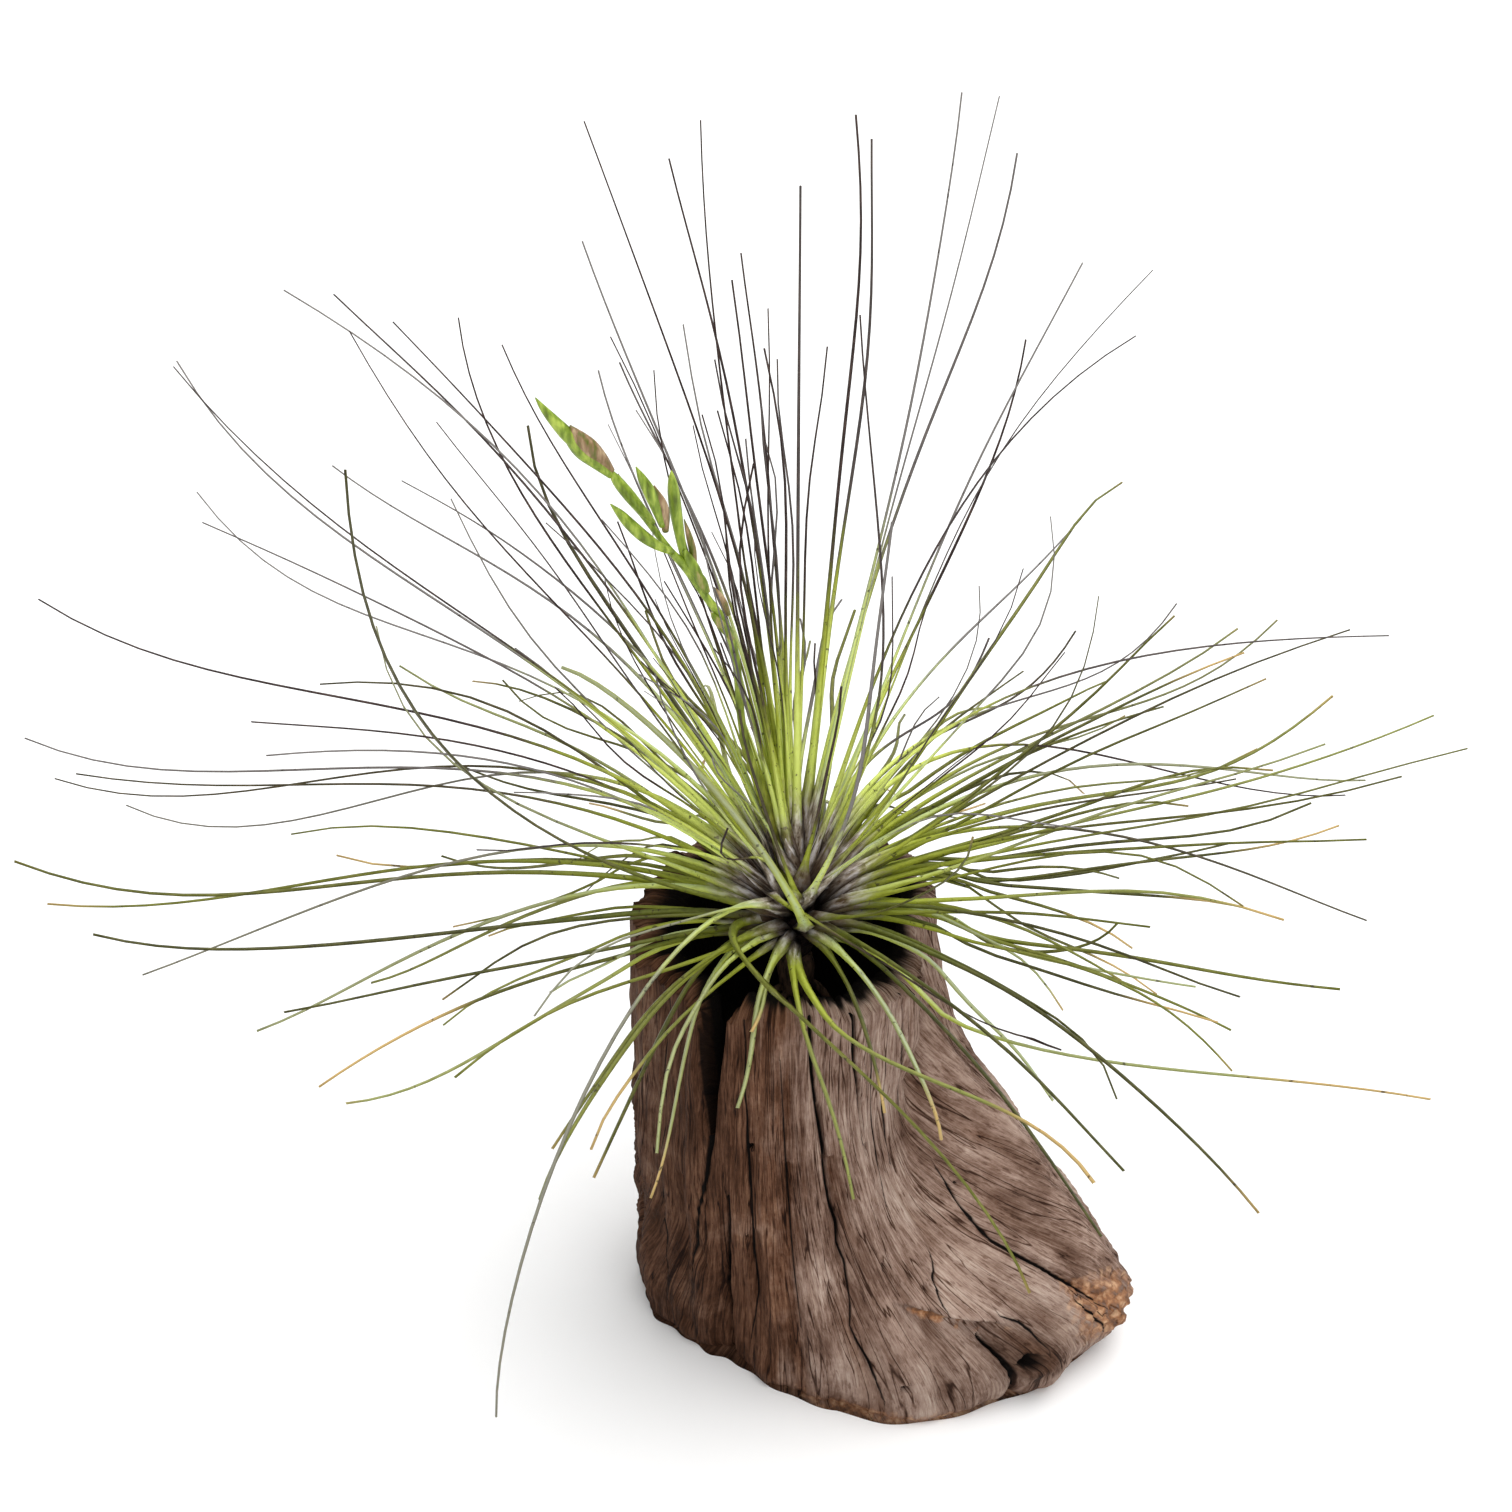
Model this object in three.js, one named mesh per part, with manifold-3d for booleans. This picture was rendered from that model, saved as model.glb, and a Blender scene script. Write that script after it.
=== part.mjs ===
// Filifolia air plant seated in the hollow top of a driftwood stump.
// Millimetres and degrees, +Z up. The origin is the middle of the trunk on the stump's flat
// underside, the front of the stump faces -Y and its root foot runs out to +X.
import * as THREE from "three";
import { mergeVertices } from "three/addons/utils/BufferGeometryUtils.js";
import Module from "manifold-3d";

// Stump: a hollow trunk that spreads into a root flare at the floor.
const TRUNK_RADIUS = 25;
const TRUNK_OFFSET = 0.9;
const STUMP_HEIGHT = 81.5;
const RIM_SLOPE = 4;
const RIM_HIGH_SIDE = 60;
const HOLLOW_RADIUS = 18;
const HOLLOW_FLOOR_RADIUS = 12;
const HOLLOW_FLOOR = 55;
const HOLLOW_TAPER = 1.6;
const STUMP_SIDES = 64;
const OUTER_RINGS = 15;
const INNER_RINGS = 4;

// Root flare: azimuth, radius at the floor, height at which the flare meets the trunk.
const FLARE = [
  [2, 57, 75],
  [18, 44.5, 66],
  [42, 33, 55],
  [75, 28.5, 50],
  [110, 26.5, 50],
  [150, 26, 50],
  [185, 25.8, 50],
  [215, 23.6, 40],
  [240, 22.6, 40],
  [265, 26.6, 60],
  [285, 34.4, 62],
  [298, 41, 57],
  [310, 47.6, 52],
  [322, 54, 54],
  [333, 60.3, 62],
  [347, 65, 76],
];
const FOOT_AZIMUTH = 343;
const FOOT_NARROWNESS = 6;
const FOOT_UNDERCUT = 8.5;
const FOOT_UNDERCUT_HEIGHT = 12;

// Hollows in the outside of the wood: the valley between the upright column and the root, which
// leans aside as it rises, and the waist above the root's raised end.
const VALLEY = { azimuth: 322, level: 36, lean: 0.55, breadth: 6.5, depth: 3.2, start: 28, full: 50 };
const WAIST = { azimuth: 8, level: 30, breadth: 24, rise: 13, depth: 2.6 };
// The rim is broken off lower towards the root.
const RIM_DIP = { azimuth: 322, breadth: 21, depth: 4.3 };

// Shallow waves round the wood: how many, how deep, phase in radians.
const BARK_FLUTES = [[11, 0.45, 0.8], [23, 0.3, 2.1]];
const RIM_CHIPS = [[7, 0.6, 1], [13, 0.4, 0]];
const HOLLOW_WAVES = [[5, 0.7, 2], [11, 0.4, 0]];

// Drying cracks: depth, then azimuth, height and half width at each point.
const CRACKS = [
  { depth: 4, at: [[278, 84, 0.5], [279, 65, 0.5], [283, 51, 0.4], [287, 38, 0.35], [291, 22, 0.1]] },
  { depth: 3, at: [[244.5, 38, 0.1], [241.5, 24, 0.35], [241, 12, 0.45], [241, -1, 0.5]] },
  { depth: 4, at: [[294.5, 84, 0.6], [294.8, 62, 0.4], [296, 50, 0.1]] },
  { depth: 2, at: [[316, 84, 0.35], [320.7, 75, 0.3], [323.8, 57, 0.3], [324.5, 48, 0.1]] },
  { depth: 3, at: [[327.5, 38, 0.1], [328.4, 28.5, 0.3], [333.2, 23, 0.4], [338, 16, 0.2], [339, 13, 0]] },
  { depth: 2.5, at: [[240.4, 52, 0.5], [235, 38, 0.4], [228, 22, 0.1]] },
];
// The split behind the loose slab at the left foot, and the notch between the toes of the root.
const SLAB_SPLIT = { depth: 8, at: [[187, 24, 0.1], [189, 15, 0.4], [191, 6, 0.9], [192, -1, 1.1]] };
const TOE_NOTCH = { depth: 5, at: [[317.5, 15, 0.1], [319.6, 11.5, 0.4], [321.5, 7, 0.8], [323, -1, 1.5]] };
const CUTTER_PROUD = 2;

// The slot through the front left wall, from the rim down.
const SLOT = { azimuth: 240.4, bottom: 51, bottomHalf: 0.6, topHalf: 3.1 };
const KNOT_HOLE = { azimuth: 325, height: 9.8, radius: 1.5, depth: 3, sides: 8 };

// Crown: the short stem wrapped in leaf bases, a little off the trunk's middle.
const STEM_X = 1.5;
const STEM_BOTTOM = 73.5;
const STEM_PROFILE = [[3, 0], [6, 3], [7, 7.5], [6, 12.5], [3.4, 16]];
const STEM_SIDES = 14;
const CROWN_HEIGHT = 80;
const CROWN_REACH = 4.8;
const CROWN_RISE = 8;
const CROWN_LOW_LATITUDE = -25;
const CROWN_HIGH_LATITUDE = 78;
const UPRIGHT_LAUNCH = 88;

// Leaf: share of its length and radius of its three-sided needle there.
const LEAF_RADII = [[0, 1.2], [0.08, 1.1], [0.2, 0.75], [0.45, 0.58], [1, 0.42]];
const LEAF_SEGMENTS = 8;
const SEGMENT_CROWDING = 1.15;
const LAUNCH_HANDLE = 0.45;
const FINISH_HANDLE = 0.33;
const RIM_CLEARANCE = 2.6;
const RIM_EASE = 1.2;

// Leaves that stand out singly: tip x, y, z, then the launch and finish angles above level, and
// for a few a swing, which turns the launch aside from the tip's azimuth.
const SINGLE_LEAVES = [
  [-31, 20, 210, 85, 66], [-33, 45, 181, 78, 58], [-18, 40, 197, 82, 60], [-13, 10, 214, 81, 88],
  [-7, 50, 177, 80, 62], [1, -8, 211, 85, 88], [10, 25, 209, 74, 95], [14, 45, 198, 70, 96],
  [25, 25, 213, 76, 88], [30, 5, 219, 80, 77], [36, 50, 194, 76, 70], [9, -35, 203, 66, 100, 42],
  [44, 20, 188, 69, 60], [50, -15, 202, 70, 50], [46, -35, 199, 74, 40], [52, 60, 123, 56, 18],
  [12, -60, 185, 46, 86], [38, 40, 166, 62, 80], [-48, 60, 156, 60, 50], [-53, 40, 170, 56, 86],
  [-68, 70, 156, 62, 26], [-70, 25, 181, 66, 44], [-74, 0, 192, 66, 32], [-97, 30, 167, 52, 62],
  [-89, -10, 184, 58, 60], [-103, 60, 128, 52, 42], [-94, 20, 143, 52, 24], [-84, 95, 116, 48, 8],
  [-58, -60, 193, 34, 92], [-70, 85, 118, 52, 2], [-47, -40, 190, 60, 62], [-62, -25, 196, 64, 66],
  [-32, 70, 147, 60, 62], [-28, 60, 153, 76, 30], [-119, 10, 135, 50, 36], [-75, -55, 152, 52, 24],
  [-74, -50, 143, 50, 14], [-126, 15, 106, 46, 22], [-129, 40, 82, 44, 8], [-109, -20, 121, 44, 14],
  [-122, 60, 63, 44, 10], [-121, -20, 104, 28, 28], [-125, 10, 76, 24, 4], [-107, -30, 99, 18, 30],
  [-103, -20, 83, 42, -16], [-86, -20, 73, 32, -14], [-72, -45, 80, 12, -22], [-69, -40, 73, 14, 12],
  [-70, 0, 68, 30, -12], [-62, 40, 66, 34, 4, 30], [-37, -60, 70, 24, -56], [-35, -62, 82, 24, -30],
  [-30, -50, 66, 20, -36, -12], [-22, -45, 57, 20, -44, -16], [-8, -40, 71, 16, -50],
  [-6, -32, 79, 10, -10], [-43, -88, 53, 42, -88, -8], [15, -42, 72, 18, -58], [22, -52, 75, 20, -82],
  [35, -80, 70, 26, -36, -75], [43, -75, 86, 4, -8, -34], [68, -70, 76, 22, -30], [43, -30, 66, 4, -30],
  [70, -35, 76, 14, -38], [71, -22, 73, 12, -22], [94, -60, 90, 0, 12, -22], [87, -25, 84, 8, 0],
  [66, -15, 77, 8, 4], [52, -12, 88, 6, 66], [96, 0, 80, 44, -22], [91, 8, 94, 14, 18],
  [109, 25, 104, 22, 24], [98, 50, 92, 26, 34], [105, 50, 76, 36, -12], [103, 58, 66, 60, -12],
  [90, 70, 97, 36, 26], [96, 10, 128, 68, -3], [72, 75, 98, 54, 36], [54, 75, 92, 44, 30],
  [38, 72, 92, 48, 34],
];

// Leaves placed by rule, group by group: they fill the back, the right side and the low front.
// Each range runs from the outermost leaf to the innermost, and each scatter is the most that a
// draw moves the value. Of the low leaves only the outer ones stand clear of the rest.
const RULES = [
  {
    count: 26, modelled: 26, seed: 1454, middle: 100, reach: 150, crowding: 1, turnScatter: 8,
    launch: [26, 66], launchScatter: 6, length: [80, 56], lengthScatter: 14,
    droop: [24, 8], droopScatter: 7, finish: [-26, 60], finishScatter: 20, swing: 20,
  },
  {
    count: 16, modelled: 16, seed: 245, middle: 14, reach: 34, crowding: 1, turnScatter: 6,
    launch: [10, 40], launchScatter: 6, length: [84, 96], lengthScatter: 16,
    droop: [8, 10], droopScatter: 6, finish: [-8, 16], finishScatter: 20, swing: 18,
  },
  {
    count: 46, modelled: 30, seed: 791, middle: 270, reach: 180, crowding: 0.65, turnScatter: 6,
    launch: [4, 30], launchScatter: 7, length: [52, 80], lengthScatter: 16,
    droop: [20, 14], droopScatter: 8, finish: [-44, -4], finishScatter: 24, swing: 18,
  },
];
const RULE_LEAF_SEGMENTS = 6;
const GOLDEN_FRACTION = 0.618034;

// Flower spike: points along the stalk with the radius at each, then its spikelets.
const STALK = [
  [1, -2, 84.5, 1.2], [-1, -3, 93, 1.2], [-3, -4, 104, 1], [-7, -5, 118, 0.9], [-8.3, -6, 133, 0.9],
  [-10, -7, 140, 0.95], [-13, -7, 145, 0.85], [-15.5, -7, 149.5, 1.15], [-18, -8, 153, 0.75],
  [-22, -8, 159, 0.7], [-26, -9, 165.5, 0.8], [-28, -9, 168.5, 1.1], [-30.5, -10, 171.5, 1.4],
  [-32.8, -10, 174, 1.1], [-35.4, -10.6, 177.4, 0.7], [-37, -11, 179.5, 0.35],
];
const SPIKELETS = [
  { girth: 0.85, path: [[-19, -8, 154.5], [-20, -7, 158.5], [-21, -6, 162], [-23, -5, 165.5]] },
  { girth: 0.95, path: [[-15.6, -7.6, 150], [-16.3, -10, 157], [-17.3, -11, 162.5], [-17.5, -12, 168]] },
  { girth: 0.9, path: [[-18, -8, 153], [-20.5, -10, 155.5], [-23.5, -11, 158.5], [-26.5, -12, 163]] },
  { girth: 0.6, path: [[-12, -7, 143], [-11.4, -6.4, 144.5], [-11, -5.8, 146], [-11.2, -5.6, 147.6]] },
];
const SPIKE_SIDES = 6;
const STALK_STEPS = 24;
const SPIKELET_RINGS = 5;
const LEAF_TO_SPIKE = 2.6;
const SOCKET_GAP = 0.35;

// Stem foot: the woody lower end of the stem and the wiry roots that stand in the hollow.
const STEM_FOOT_PROFILE = [[1.2, 64], [2.6, 66], [3.2, 70], [2.6, 73.2]];
const STEM_FOOT_SIDES = 10;
const ROOTS = 6;
const ROOT_RADIUS = 0.7;
const ROOT_SIDES = 4;
const ROOT_STEPS = 5;
const ROOT_REACH = 9;
const ROOT_FLOOR_GAP = 0.35;

const { degToRad: radians, radToDeg: degrees, smoothstep, lerp } = THREE.MathUtils;

const wasm = await Module();
wasm.setup();

// A closed geometry as a solid that can be joined and cut.
function solid(geometry) {
  geometry.deleteAttribute("normal");
  geometry.deleteAttribute("uv");
  const merged = mergeVertices(geometry, 1e-4);
  const made = new wasm.Manifold(
    new wasm.Mesh({
      numProp: 3,
      vertProperties: merged.attributes.position.array,
      triVerts: new Uint32Array(merged.index.array),
    }),
  );
  if (made.volume() < 0) throw new Error("a solid is inside out");
  return made;
}

// The largest body of a joined or cut solid as a geometry: loose scraps are dropped.
function geometryOf(made) {
  const bodies = made.decompose().sort((a, b) => b.volume() - a.volume());
  const mesh = bodies[0].getMesh();
  const geometry = new THREE.BufferGeometry();
  geometry.setAttribute("position", new THREE.BufferAttribute(mesh.vertProperties, 3));
  geometry.setIndex(new THREE.BufferAttribute(mesh.triVerts, 1));
  geometry.computeVertexNormals();
  return geometry;
}

// Moves every vertex of a geometry by a function that changes the point it is given.
function reshape(geometry, move) {
  const position = geometry.attributes.position;
  const point = new THREE.Vector3();
  for (let i = 0; i < position.count; i += 1) {
    point.fromBufferAttribute(position, i);
    move(point);
    position.setXYZ(i, point.x, point.y, point.z);
  }
  return geometry;
}

// A turned solid that stands on +Z, closed on its axis at both ends of the profile.
function turned(profile, sides) {
  const lowest = profile[0][1];
  const highest = profile[profile.length - 1][1];
  const outline = [[0, lowest], ...profile, [0, highest]];
  const points = outline.map(([radius, height]) => new THREE.Vector2(radius, height));
  return new THREE.LatheGeometry(points, sides).rotateX(Math.PI / 2);
}

// A smooth curve through points given as arrays.
function curveThrough(points) {
  return new THREE.CatmullRomCurve3(points.map(([x, y, z]) => new THREE.Vector3(x, y, z)));
}

// The corners of a regular polygon, for the section of a tube.
function polygon(sides, radius) {
  const corner = (unused, i) => {
    const angle = (2 * Math.PI * i) / sides;
    return new THREE.Vector2(radius * Math.cos(angle), radius * Math.sin(angle));
  };
  return new THREE.Shape(Array.from({ length: sides }, corner));
}

// Unit direction from an azimuth and an angle above level.
function direction(azimuth, elevation) {
  const level = Math.cos(radians(elevation));
  const angle = radians(azimuth);
  return new THREE.Vector3(level * Math.cos(angle), level * Math.sin(angle), Math.sin(radians(elevation)));
}

// The value at a position in rows of [position, value], straight between the rows.
function between(rows, position) {
  const last = rows.findIndex((row) => row[0] >= position);
  if (last <= 0) return rows[0][1];
  const [from, low] = rows[last - 1];
  const [to, high] = rows[last];
  return lerp(low, high, (position - from) / (to - from));
}

// The sum of sine waves round the trunk.
function waves(rows, azimuth) {
  const angle = radians(azimuth);
  return rows.reduce((sum, [count, depth, phase]) => sum + depth * Math.sin(count * angle + phase), 0);
}

// Floor radius and flare height at an azimuth, on a smooth closed curve through the rows of FLARE.
function flareAt(azimuth) {
  const turn = (azimuth + 720) % 360;
  const count = FLARE.length;
  const found = FLARE.findIndex((row) => row[0] > turn);
  const next = found < 0 ? 0 : found;
  const [before, low, high, after] = [-2, -1, 0, 1].map((step) => FLARE[(next + step + count) % count]);
  const span = (high[0] - low[0] + 360) % 360;
  const t = ((turn - low[0] + 360) % 360) / span;
  return [1, 2].map((column) => {
    const [a, b, c, d] = [before, low, high, after].map((row) => row[column]);
    return b + 0.5 * t * (c - a + t * (2 * a - 5 * b + 4 * c - d + t * (3 * (b - c) + d - a)));
  });
}

// How far an azimuth lies from another, between -180 and 180.
function turnBetween(from, to) {
  return ((to - from + 540) % 360) - 180;
}

// Depth of the valley and the waist at an azimuth and height.
function hollows(azimuth, height) {
  const offValley = turnBetween(VALLEY.azimuth + VALLEY.lean * (height - VALLEY.level), azimuth);
  const offWaist = turnBetween(WAIST.azimuth, azimuth);
  const valley = VALLEY.depth * smoothstep(height, VALLEY.start, VALLEY.full);
  const waist = WAIST.depth * Math.exp(-(((height - WAIST.level) / WAIST.rise) ** 2));
  return (
    valley * Math.exp(-((offValley / VALLEY.breadth) ** 2)) +
    waist * Math.exp(-((offWaist / WAIST.breadth) ** 2))
  );
}

// Radius of the stump's outside at an azimuth and height.
function barkRadius(azimuth, height) {
  const trunk = TRUNK_RADIUS - TRUNK_OFFSET * Math.cos(radians(azimuth));
  const [floorRadius, flareHeight] = flareAt(azimuth);
  const spread = 1 - smoothstep(height, 0, flareHeight);
  const facing = Math.max(0, Math.cos(radians(azimuth - FOOT_AZIMUTH))) ** FOOT_NARROWNESS;
  const tuck = Math.max(0, 1 - height / FOOT_UNDERCUT_HEIGHT) ** 1.5;
  const undercut = FOOT_UNDERCUT * facing * tuck;
  const bark = lerp(trunk, floorRadius, spread) + waves(BARK_FLUTES, azimuth);
  return bark - undercut - hollows(azimuth, height);
}

// Height of the rim at an azimuth: higher at the back, and uneven where the wood broke.
function rimHeight(azimuth) {
  const slope = RIM_SLOPE * Math.cos(radians(azimuth - RIM_HIGH_SIDE));
  return STUMP_HEIGHT + slope + waves(RIM_CHIPS, azimuth);
}

// A thin wedge that follows a crack's points over the bark, from its depth to proud of the wood.
function crackCutter({ depth, at }) {
  const edge = (side) => ([azimuth, height, half]) => {
    const sideways = degrees(half / barkRadius(azimuth, height));
    return new THREE.Vector2(azimuth + side * sideways, height);
  };
  const outline = new THREE.Shape([...at.map(edge(1)), ...at.map(edge(-1)).reverse()]);
  const slab = new THREE.ExtrudeGeometry(outline, { depth: 1, steps: 1, bevelEnabled: false });
  const wrapped = reshape(slab, (p) => {
    const [azimuth, height] = [p.x, p.y];
    const reach = barkRadius(azimuth, Math.max(0, height)) + lerp(-depth, CUTTER_PROUD, p.z);
    p.copy(direction(azimuth, 0).multiplyScalar(reach)).setZ(height);
  });
  return solid(wrapped);
}

// A bar along the slot's azimuth, wide at the rim and closing downwards.
function slotCutter() {
  const top = STUMP_HEIGHT + 2 * RIM_SLOPE;
  const wedge = new THREE.Shape([
    new THREE.Vector2(-SLOT.bottomHalf, SLOT.bottom),
    new THREE.Vector2(SLOT.bottomHalf, SLOT.bottom),
    new THREE.Vector2(SLOT.topHalf, top),
    new THREE.Vector2(-SLOT.topHalf, top),
  ]);
  const start = 0.75 * HOLLOW_FLOOR_RADIUS;
  const length = 1.3 * TRUNK_RADIUS - start;
  const bar = new THREE.ExtrudeGeometry(wedge, { depth: length, steps: 1, bevelEnabled: false });
  bar.rotateX(Math.PI / 2).rotateZ(radians(SLOT.azimuth + 90));
  const foot = direction(SLOT.azimuth, 0).multiplyScalar(start);
  return solid(bar.translate(foot.x, foot.y, 0));
}

function knotCutter() {
  const { azimuth, height, radius, depth, sides } = KNOT_HOLE;
  const drill = new THREE.CylinderGeometry(1.2 * radius, radius, 2 * depth, sides);
  drill.rotateZ(-Math.PI / 2).rotateZ(radians(azimuth));
  const mouth = direction(azimuth, 0).multiplyScalar(barkRadius(azimuth, height));
  return solid(drill.translate(mouth.x, mouth.y, height));
}

// The stump is turned as a plain cup, its walls are moved to the bark, the hollow and the rim,
// and then the cracks, the slot and the knot hole are cut.
function driftwoodStump() {
  const outer = Array.from({ length: OUTER_RINGS + 1 }, (unused, i) => [
    TRUNK_RADIUS,
    (STUMP_HEIGHT * i) / OUTER_RINGS,
  ]);
  const inner = Array.from({ length: INNER_RINGS + 1 }, (unused, i) => [
    lerp(HOLLOW_RADIUS, HOLLOW_FLOOR_RADIUS, (i / INNER_RINGS) ** HOLLOW_TAPER),
    lerp(STUMP_HEIGHT, HOLLOW_FLOOR, i / INNER_RINGS),
  ]);
  const cup = reshape(turned([...outer, ...inner], STUMP_SIDES), (p) => {
    const nominal = Math.hypot(p.x, p.y);
    if (nominal < 1) return;
    const azimuth = degrees(Math.atan2(p.y, p.x));
    const offDip = turnBetween(RIM_DIP.azimuth, azimuth);
    const rim = rimHeight(azimuth) - RIM_DIP.depth * Math.exp(-((offDip / RIM_DIP.breadth) ** 2));
    const isBark = nominal > HOLLOW_RADIUS + 1;
    const floor = isBark ? 0 : HOLLOW_FLOOR;
    const height = lerp(floor, rim, (p.z - floor) / (STUMP_HEIGHT - floor));
    const reach = isBark ? barkRadius(azimuth, height) : nominal + waves(HOLLOW_WAVES, azimuth);
    p.copy(direction(azimuth, 0).multiplyScalar(reach)).setZ(height);
  });
  const cutters = [...CRACKS, SLAB_SPLIT, TOE_NOTCH].map(crackCutter);
  cutters.push(slotCutter(), knotCutter());
  return geometryOf(cutters.reduce((wood, cutter) => wood.subtract(cutter), solid(cup)));
}

// Seeded draws between -1 and 1.
function seededDraws(seed) {
  const factor = 16807;
  const modulus = 2147483647;
  let state = seed;
  return () => {
    state = (state * factor) % modulus;
    return (2 * state) / modulus - 1;
  };
}

// The leaves of one rule, in the terms of SINGLE_LEAVES.
function leavesByRule(rule) {
  const draw = seededDraws(rule.seed);
  return Array.from({ length: rule.modelled }, (unused, i) => {
    const level = (i + 0.5) / rule.count;
    const turn = 2 * ((i * GOLDEN_FRACTION) % 1) - 1;
    const spread = rule.reach * Math.sign(turn) * Math.abs(turn) ** rule.crowding;
    const azimuth = rule.middle + spread + rule.turnScatter * draw();
    const launch = lerp(...rule.launch, level) + rule.launchScatter * draw();
    const length = lerp(...rule.length, level) + rule.lengthScatter * draw();
    const droop = lerp(...rule.droop, level) + rule.droopScatter * draw();
    const finish = lerp(...rule.finish, smoothstep(level, 0, 0.9)) + rule.finishScatter * draw();
    const tip = direction(azimuth, launch - droop).multiplyScalar(length);
    return [STEM_X + tip.x, tip.y, CROWN_HEIGHT + tip.z, launch, finish, rule.swing * draw()];
  });
}

// Lifts a point of a leaf over the rim that the leaf arches across.
function overRim(point) {
  const reach = Math.hypot(point.x, point.y);
  const outside = Math.max(0, reach - TRUNK_RADIUS - 3);
  const inside = Math.max(0, HOLLOW_RADIUS - 3 - reach);
  const rim = rimHeight(degrees(Math.atan2(point.y, point.x)));
  const lowest = rim + RIM_CLEARANCE - 1.2 * outside - 0.7 * inside;
  const spare = point.z - lowest;
  point.z = lowest + (spare + Math.hypot(spare, 2 * RIM_EASE)) / 2;
}

const stalkCurve = curveThrough(STALK);
const spikePoints = [
  ...stalkCurve.getPoints(4 * STALK_STEPS),
  ...SPIKELETS.flatMap(({ path }) => curveThrough(path).getPoints(STALK_STEPS)),
];

// Bends a point of a leaf aside where the flower spike would touch the leaf.
function clearOfSpike(point, girth) {
  for (const post of spikePoints) {
    const away = new THREE.Vector3().subVectors(point, post);
    const shortfall = LEAF_TO_SPIKE + girth - away.length();
    if (shortfall > 0) point.addScaledVector(away.normalize(), shortfall);
  }
}

// The line that a leaf grows along, from its root in the crown to its tip.
function leafCurve([x, y, z, launch, finish, swing = 0]) {
  const tip = new THREE.Vector3(x, y, z);
  const azimuth = degrees(Math.atan2(y, x - STEM_X));
  const latitude = lerp(CROWN_LOW_LATITUDE, CROWN_HIGH_LATITUDE, launch / UPRIGHT_LAUNCH);
  const out = direction(azimuth + swing, latitude);
  const root = new THREE.Vector3(
    STEM_X + CROWN_REACH * out.x,
    CROWN_REACH * out.y,
    CROWN_HEIGHT + CROWN_RISE * out.z,
  );
  const span = root.distanceTo(tip);
  const curve = new THREE.CubicBezierCurve3(
    root,
    root.clone().addScaledVector(direction(azimuth + swing, launch), LAUNCH_HANDLE * span),
    tip.clone().addScaledVector(direction(azimuth, finish), -FINISH_HANDLE * span),
    tip,
  );
  return { curve, side: direction(azimuth + swing + 90, 0) };
}

// One leaf: a three-sided needle, broad at its sheath, bent along its own line.
function leafNeedle(row, segments) {
  const { curve, side } = leafCurve(row);
  const needle = new THREE.CylinderGeometry(1, 1, 1, 3, segments);
  const bent = reshape(needle, (p) => {
    const along = (p.y + 0.5) ** SEGMENT_CROWDING;
    const girth = between(LEAF_RADII, along);
    const centre = curve.getPoint(along);
    const tangent = curve.getTangent(along);
    const face = new THREE.Vector3().crossVectors(side, tangent).normalize();
    const across = new THREE.Vector3().crossVectors(tangent, face);
    if (along > 0) {
      overRim(centre);
      clearOfSpike(centre, girth);
    }
    p.copy(centre.addScaledVector(across, girth * p.x).addScaledVector(face, girth * p.z));
  });
  return solid(bent);
}

// The leafy stem: every leaf is joined to the short stem that it grows from.
function leafRosette() {
  const stem = solid(turned(STEM_PROFILE, STEM_SIDES).translate(STEM_X, 0, STEM_BOTTOM));
  const needles = SINGLE_LEAVES.map((row) => leafNeedle(row, LEAF_SEGMENTS));
  needles.push(...RULES.flatMap(leavesByRule).map((row) => leafNeedle(row, RULE_LEAF_SEGMENTS)));
  return geometryOf(wasm.Manifold.union([stem, ...needles]).subtract(stalk(SOCKET_GAP)));
}

// The share of the stalk's length that lies nearest to a point.
function nearestOnStalk(point) {
  const tries = 8 * STALK_STEPS;
  const gaps = Array.from({ length: tries + 1 }, (unused, i) =>
    stalkCurve.getPointAt(i / tries).distanceTo(point),
  );
  return gaps.indexOf(Math.min(...gaps)) / tries;
}

// A tube along the stalk, thicker at its joints and at the bract of its top spikelet. The extra
// girth, and the same again below its foot, make the socket that it stands in.
function stalk(extra) {
  const section = polygon(SPIKE_SIDES, 1);
  const tube = new THREE.ExtrudeGeometry(section, { steps: STALK_STEPS, extrudePath: stalkCurve });
  const radii = STALK.map((row, i) => [i / (STALK.length - 1), row[3]]);
  const swollen = reshape(tube, (p) => {
    const along = nearestOnStalk(p);
    const centre = stalkCurve.getPointAt(along);
    const girth = between(radii, stalkCurve.getUtoTmapping(along)) + extra;
    p.sub(centre).multiplyScalar(girth).add(centre);
    if (along === 0) p.z -= extra;
  });
  return solid(swollen);
}

// A bud in its bracts: a slim spindle bent along its own path.
function spikelet({ girth, path }) {
  const curve = curveThrough(path);
  const spindle = new THREE.SphereGeometry(1, SPIKE_SIDES, SPIKELET_RINGS);
  const bent = reshape(spindle, (p) => {
    const along = (p.y + 1) / 2;
    const tangent = curve.getTangentAt(along);
    const side = new THREE.Vector3(0, 1, 0).cross(tangent).normalize();
    const face = new THREE.Vector3().crossVectors(side, tangent);
    const centre = curve.getPointAt(along);
    p.copy(centre.addScaledVector(side, girth * p.x).addScaledVector(face, girth * p.z));
  });
  return solid(bent);
}

function flowerSpike() {
  return geometryOf(wasm.Manifold.union([stalk(0), ...SPIKELETS.map(spikelet)]));
}

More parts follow.
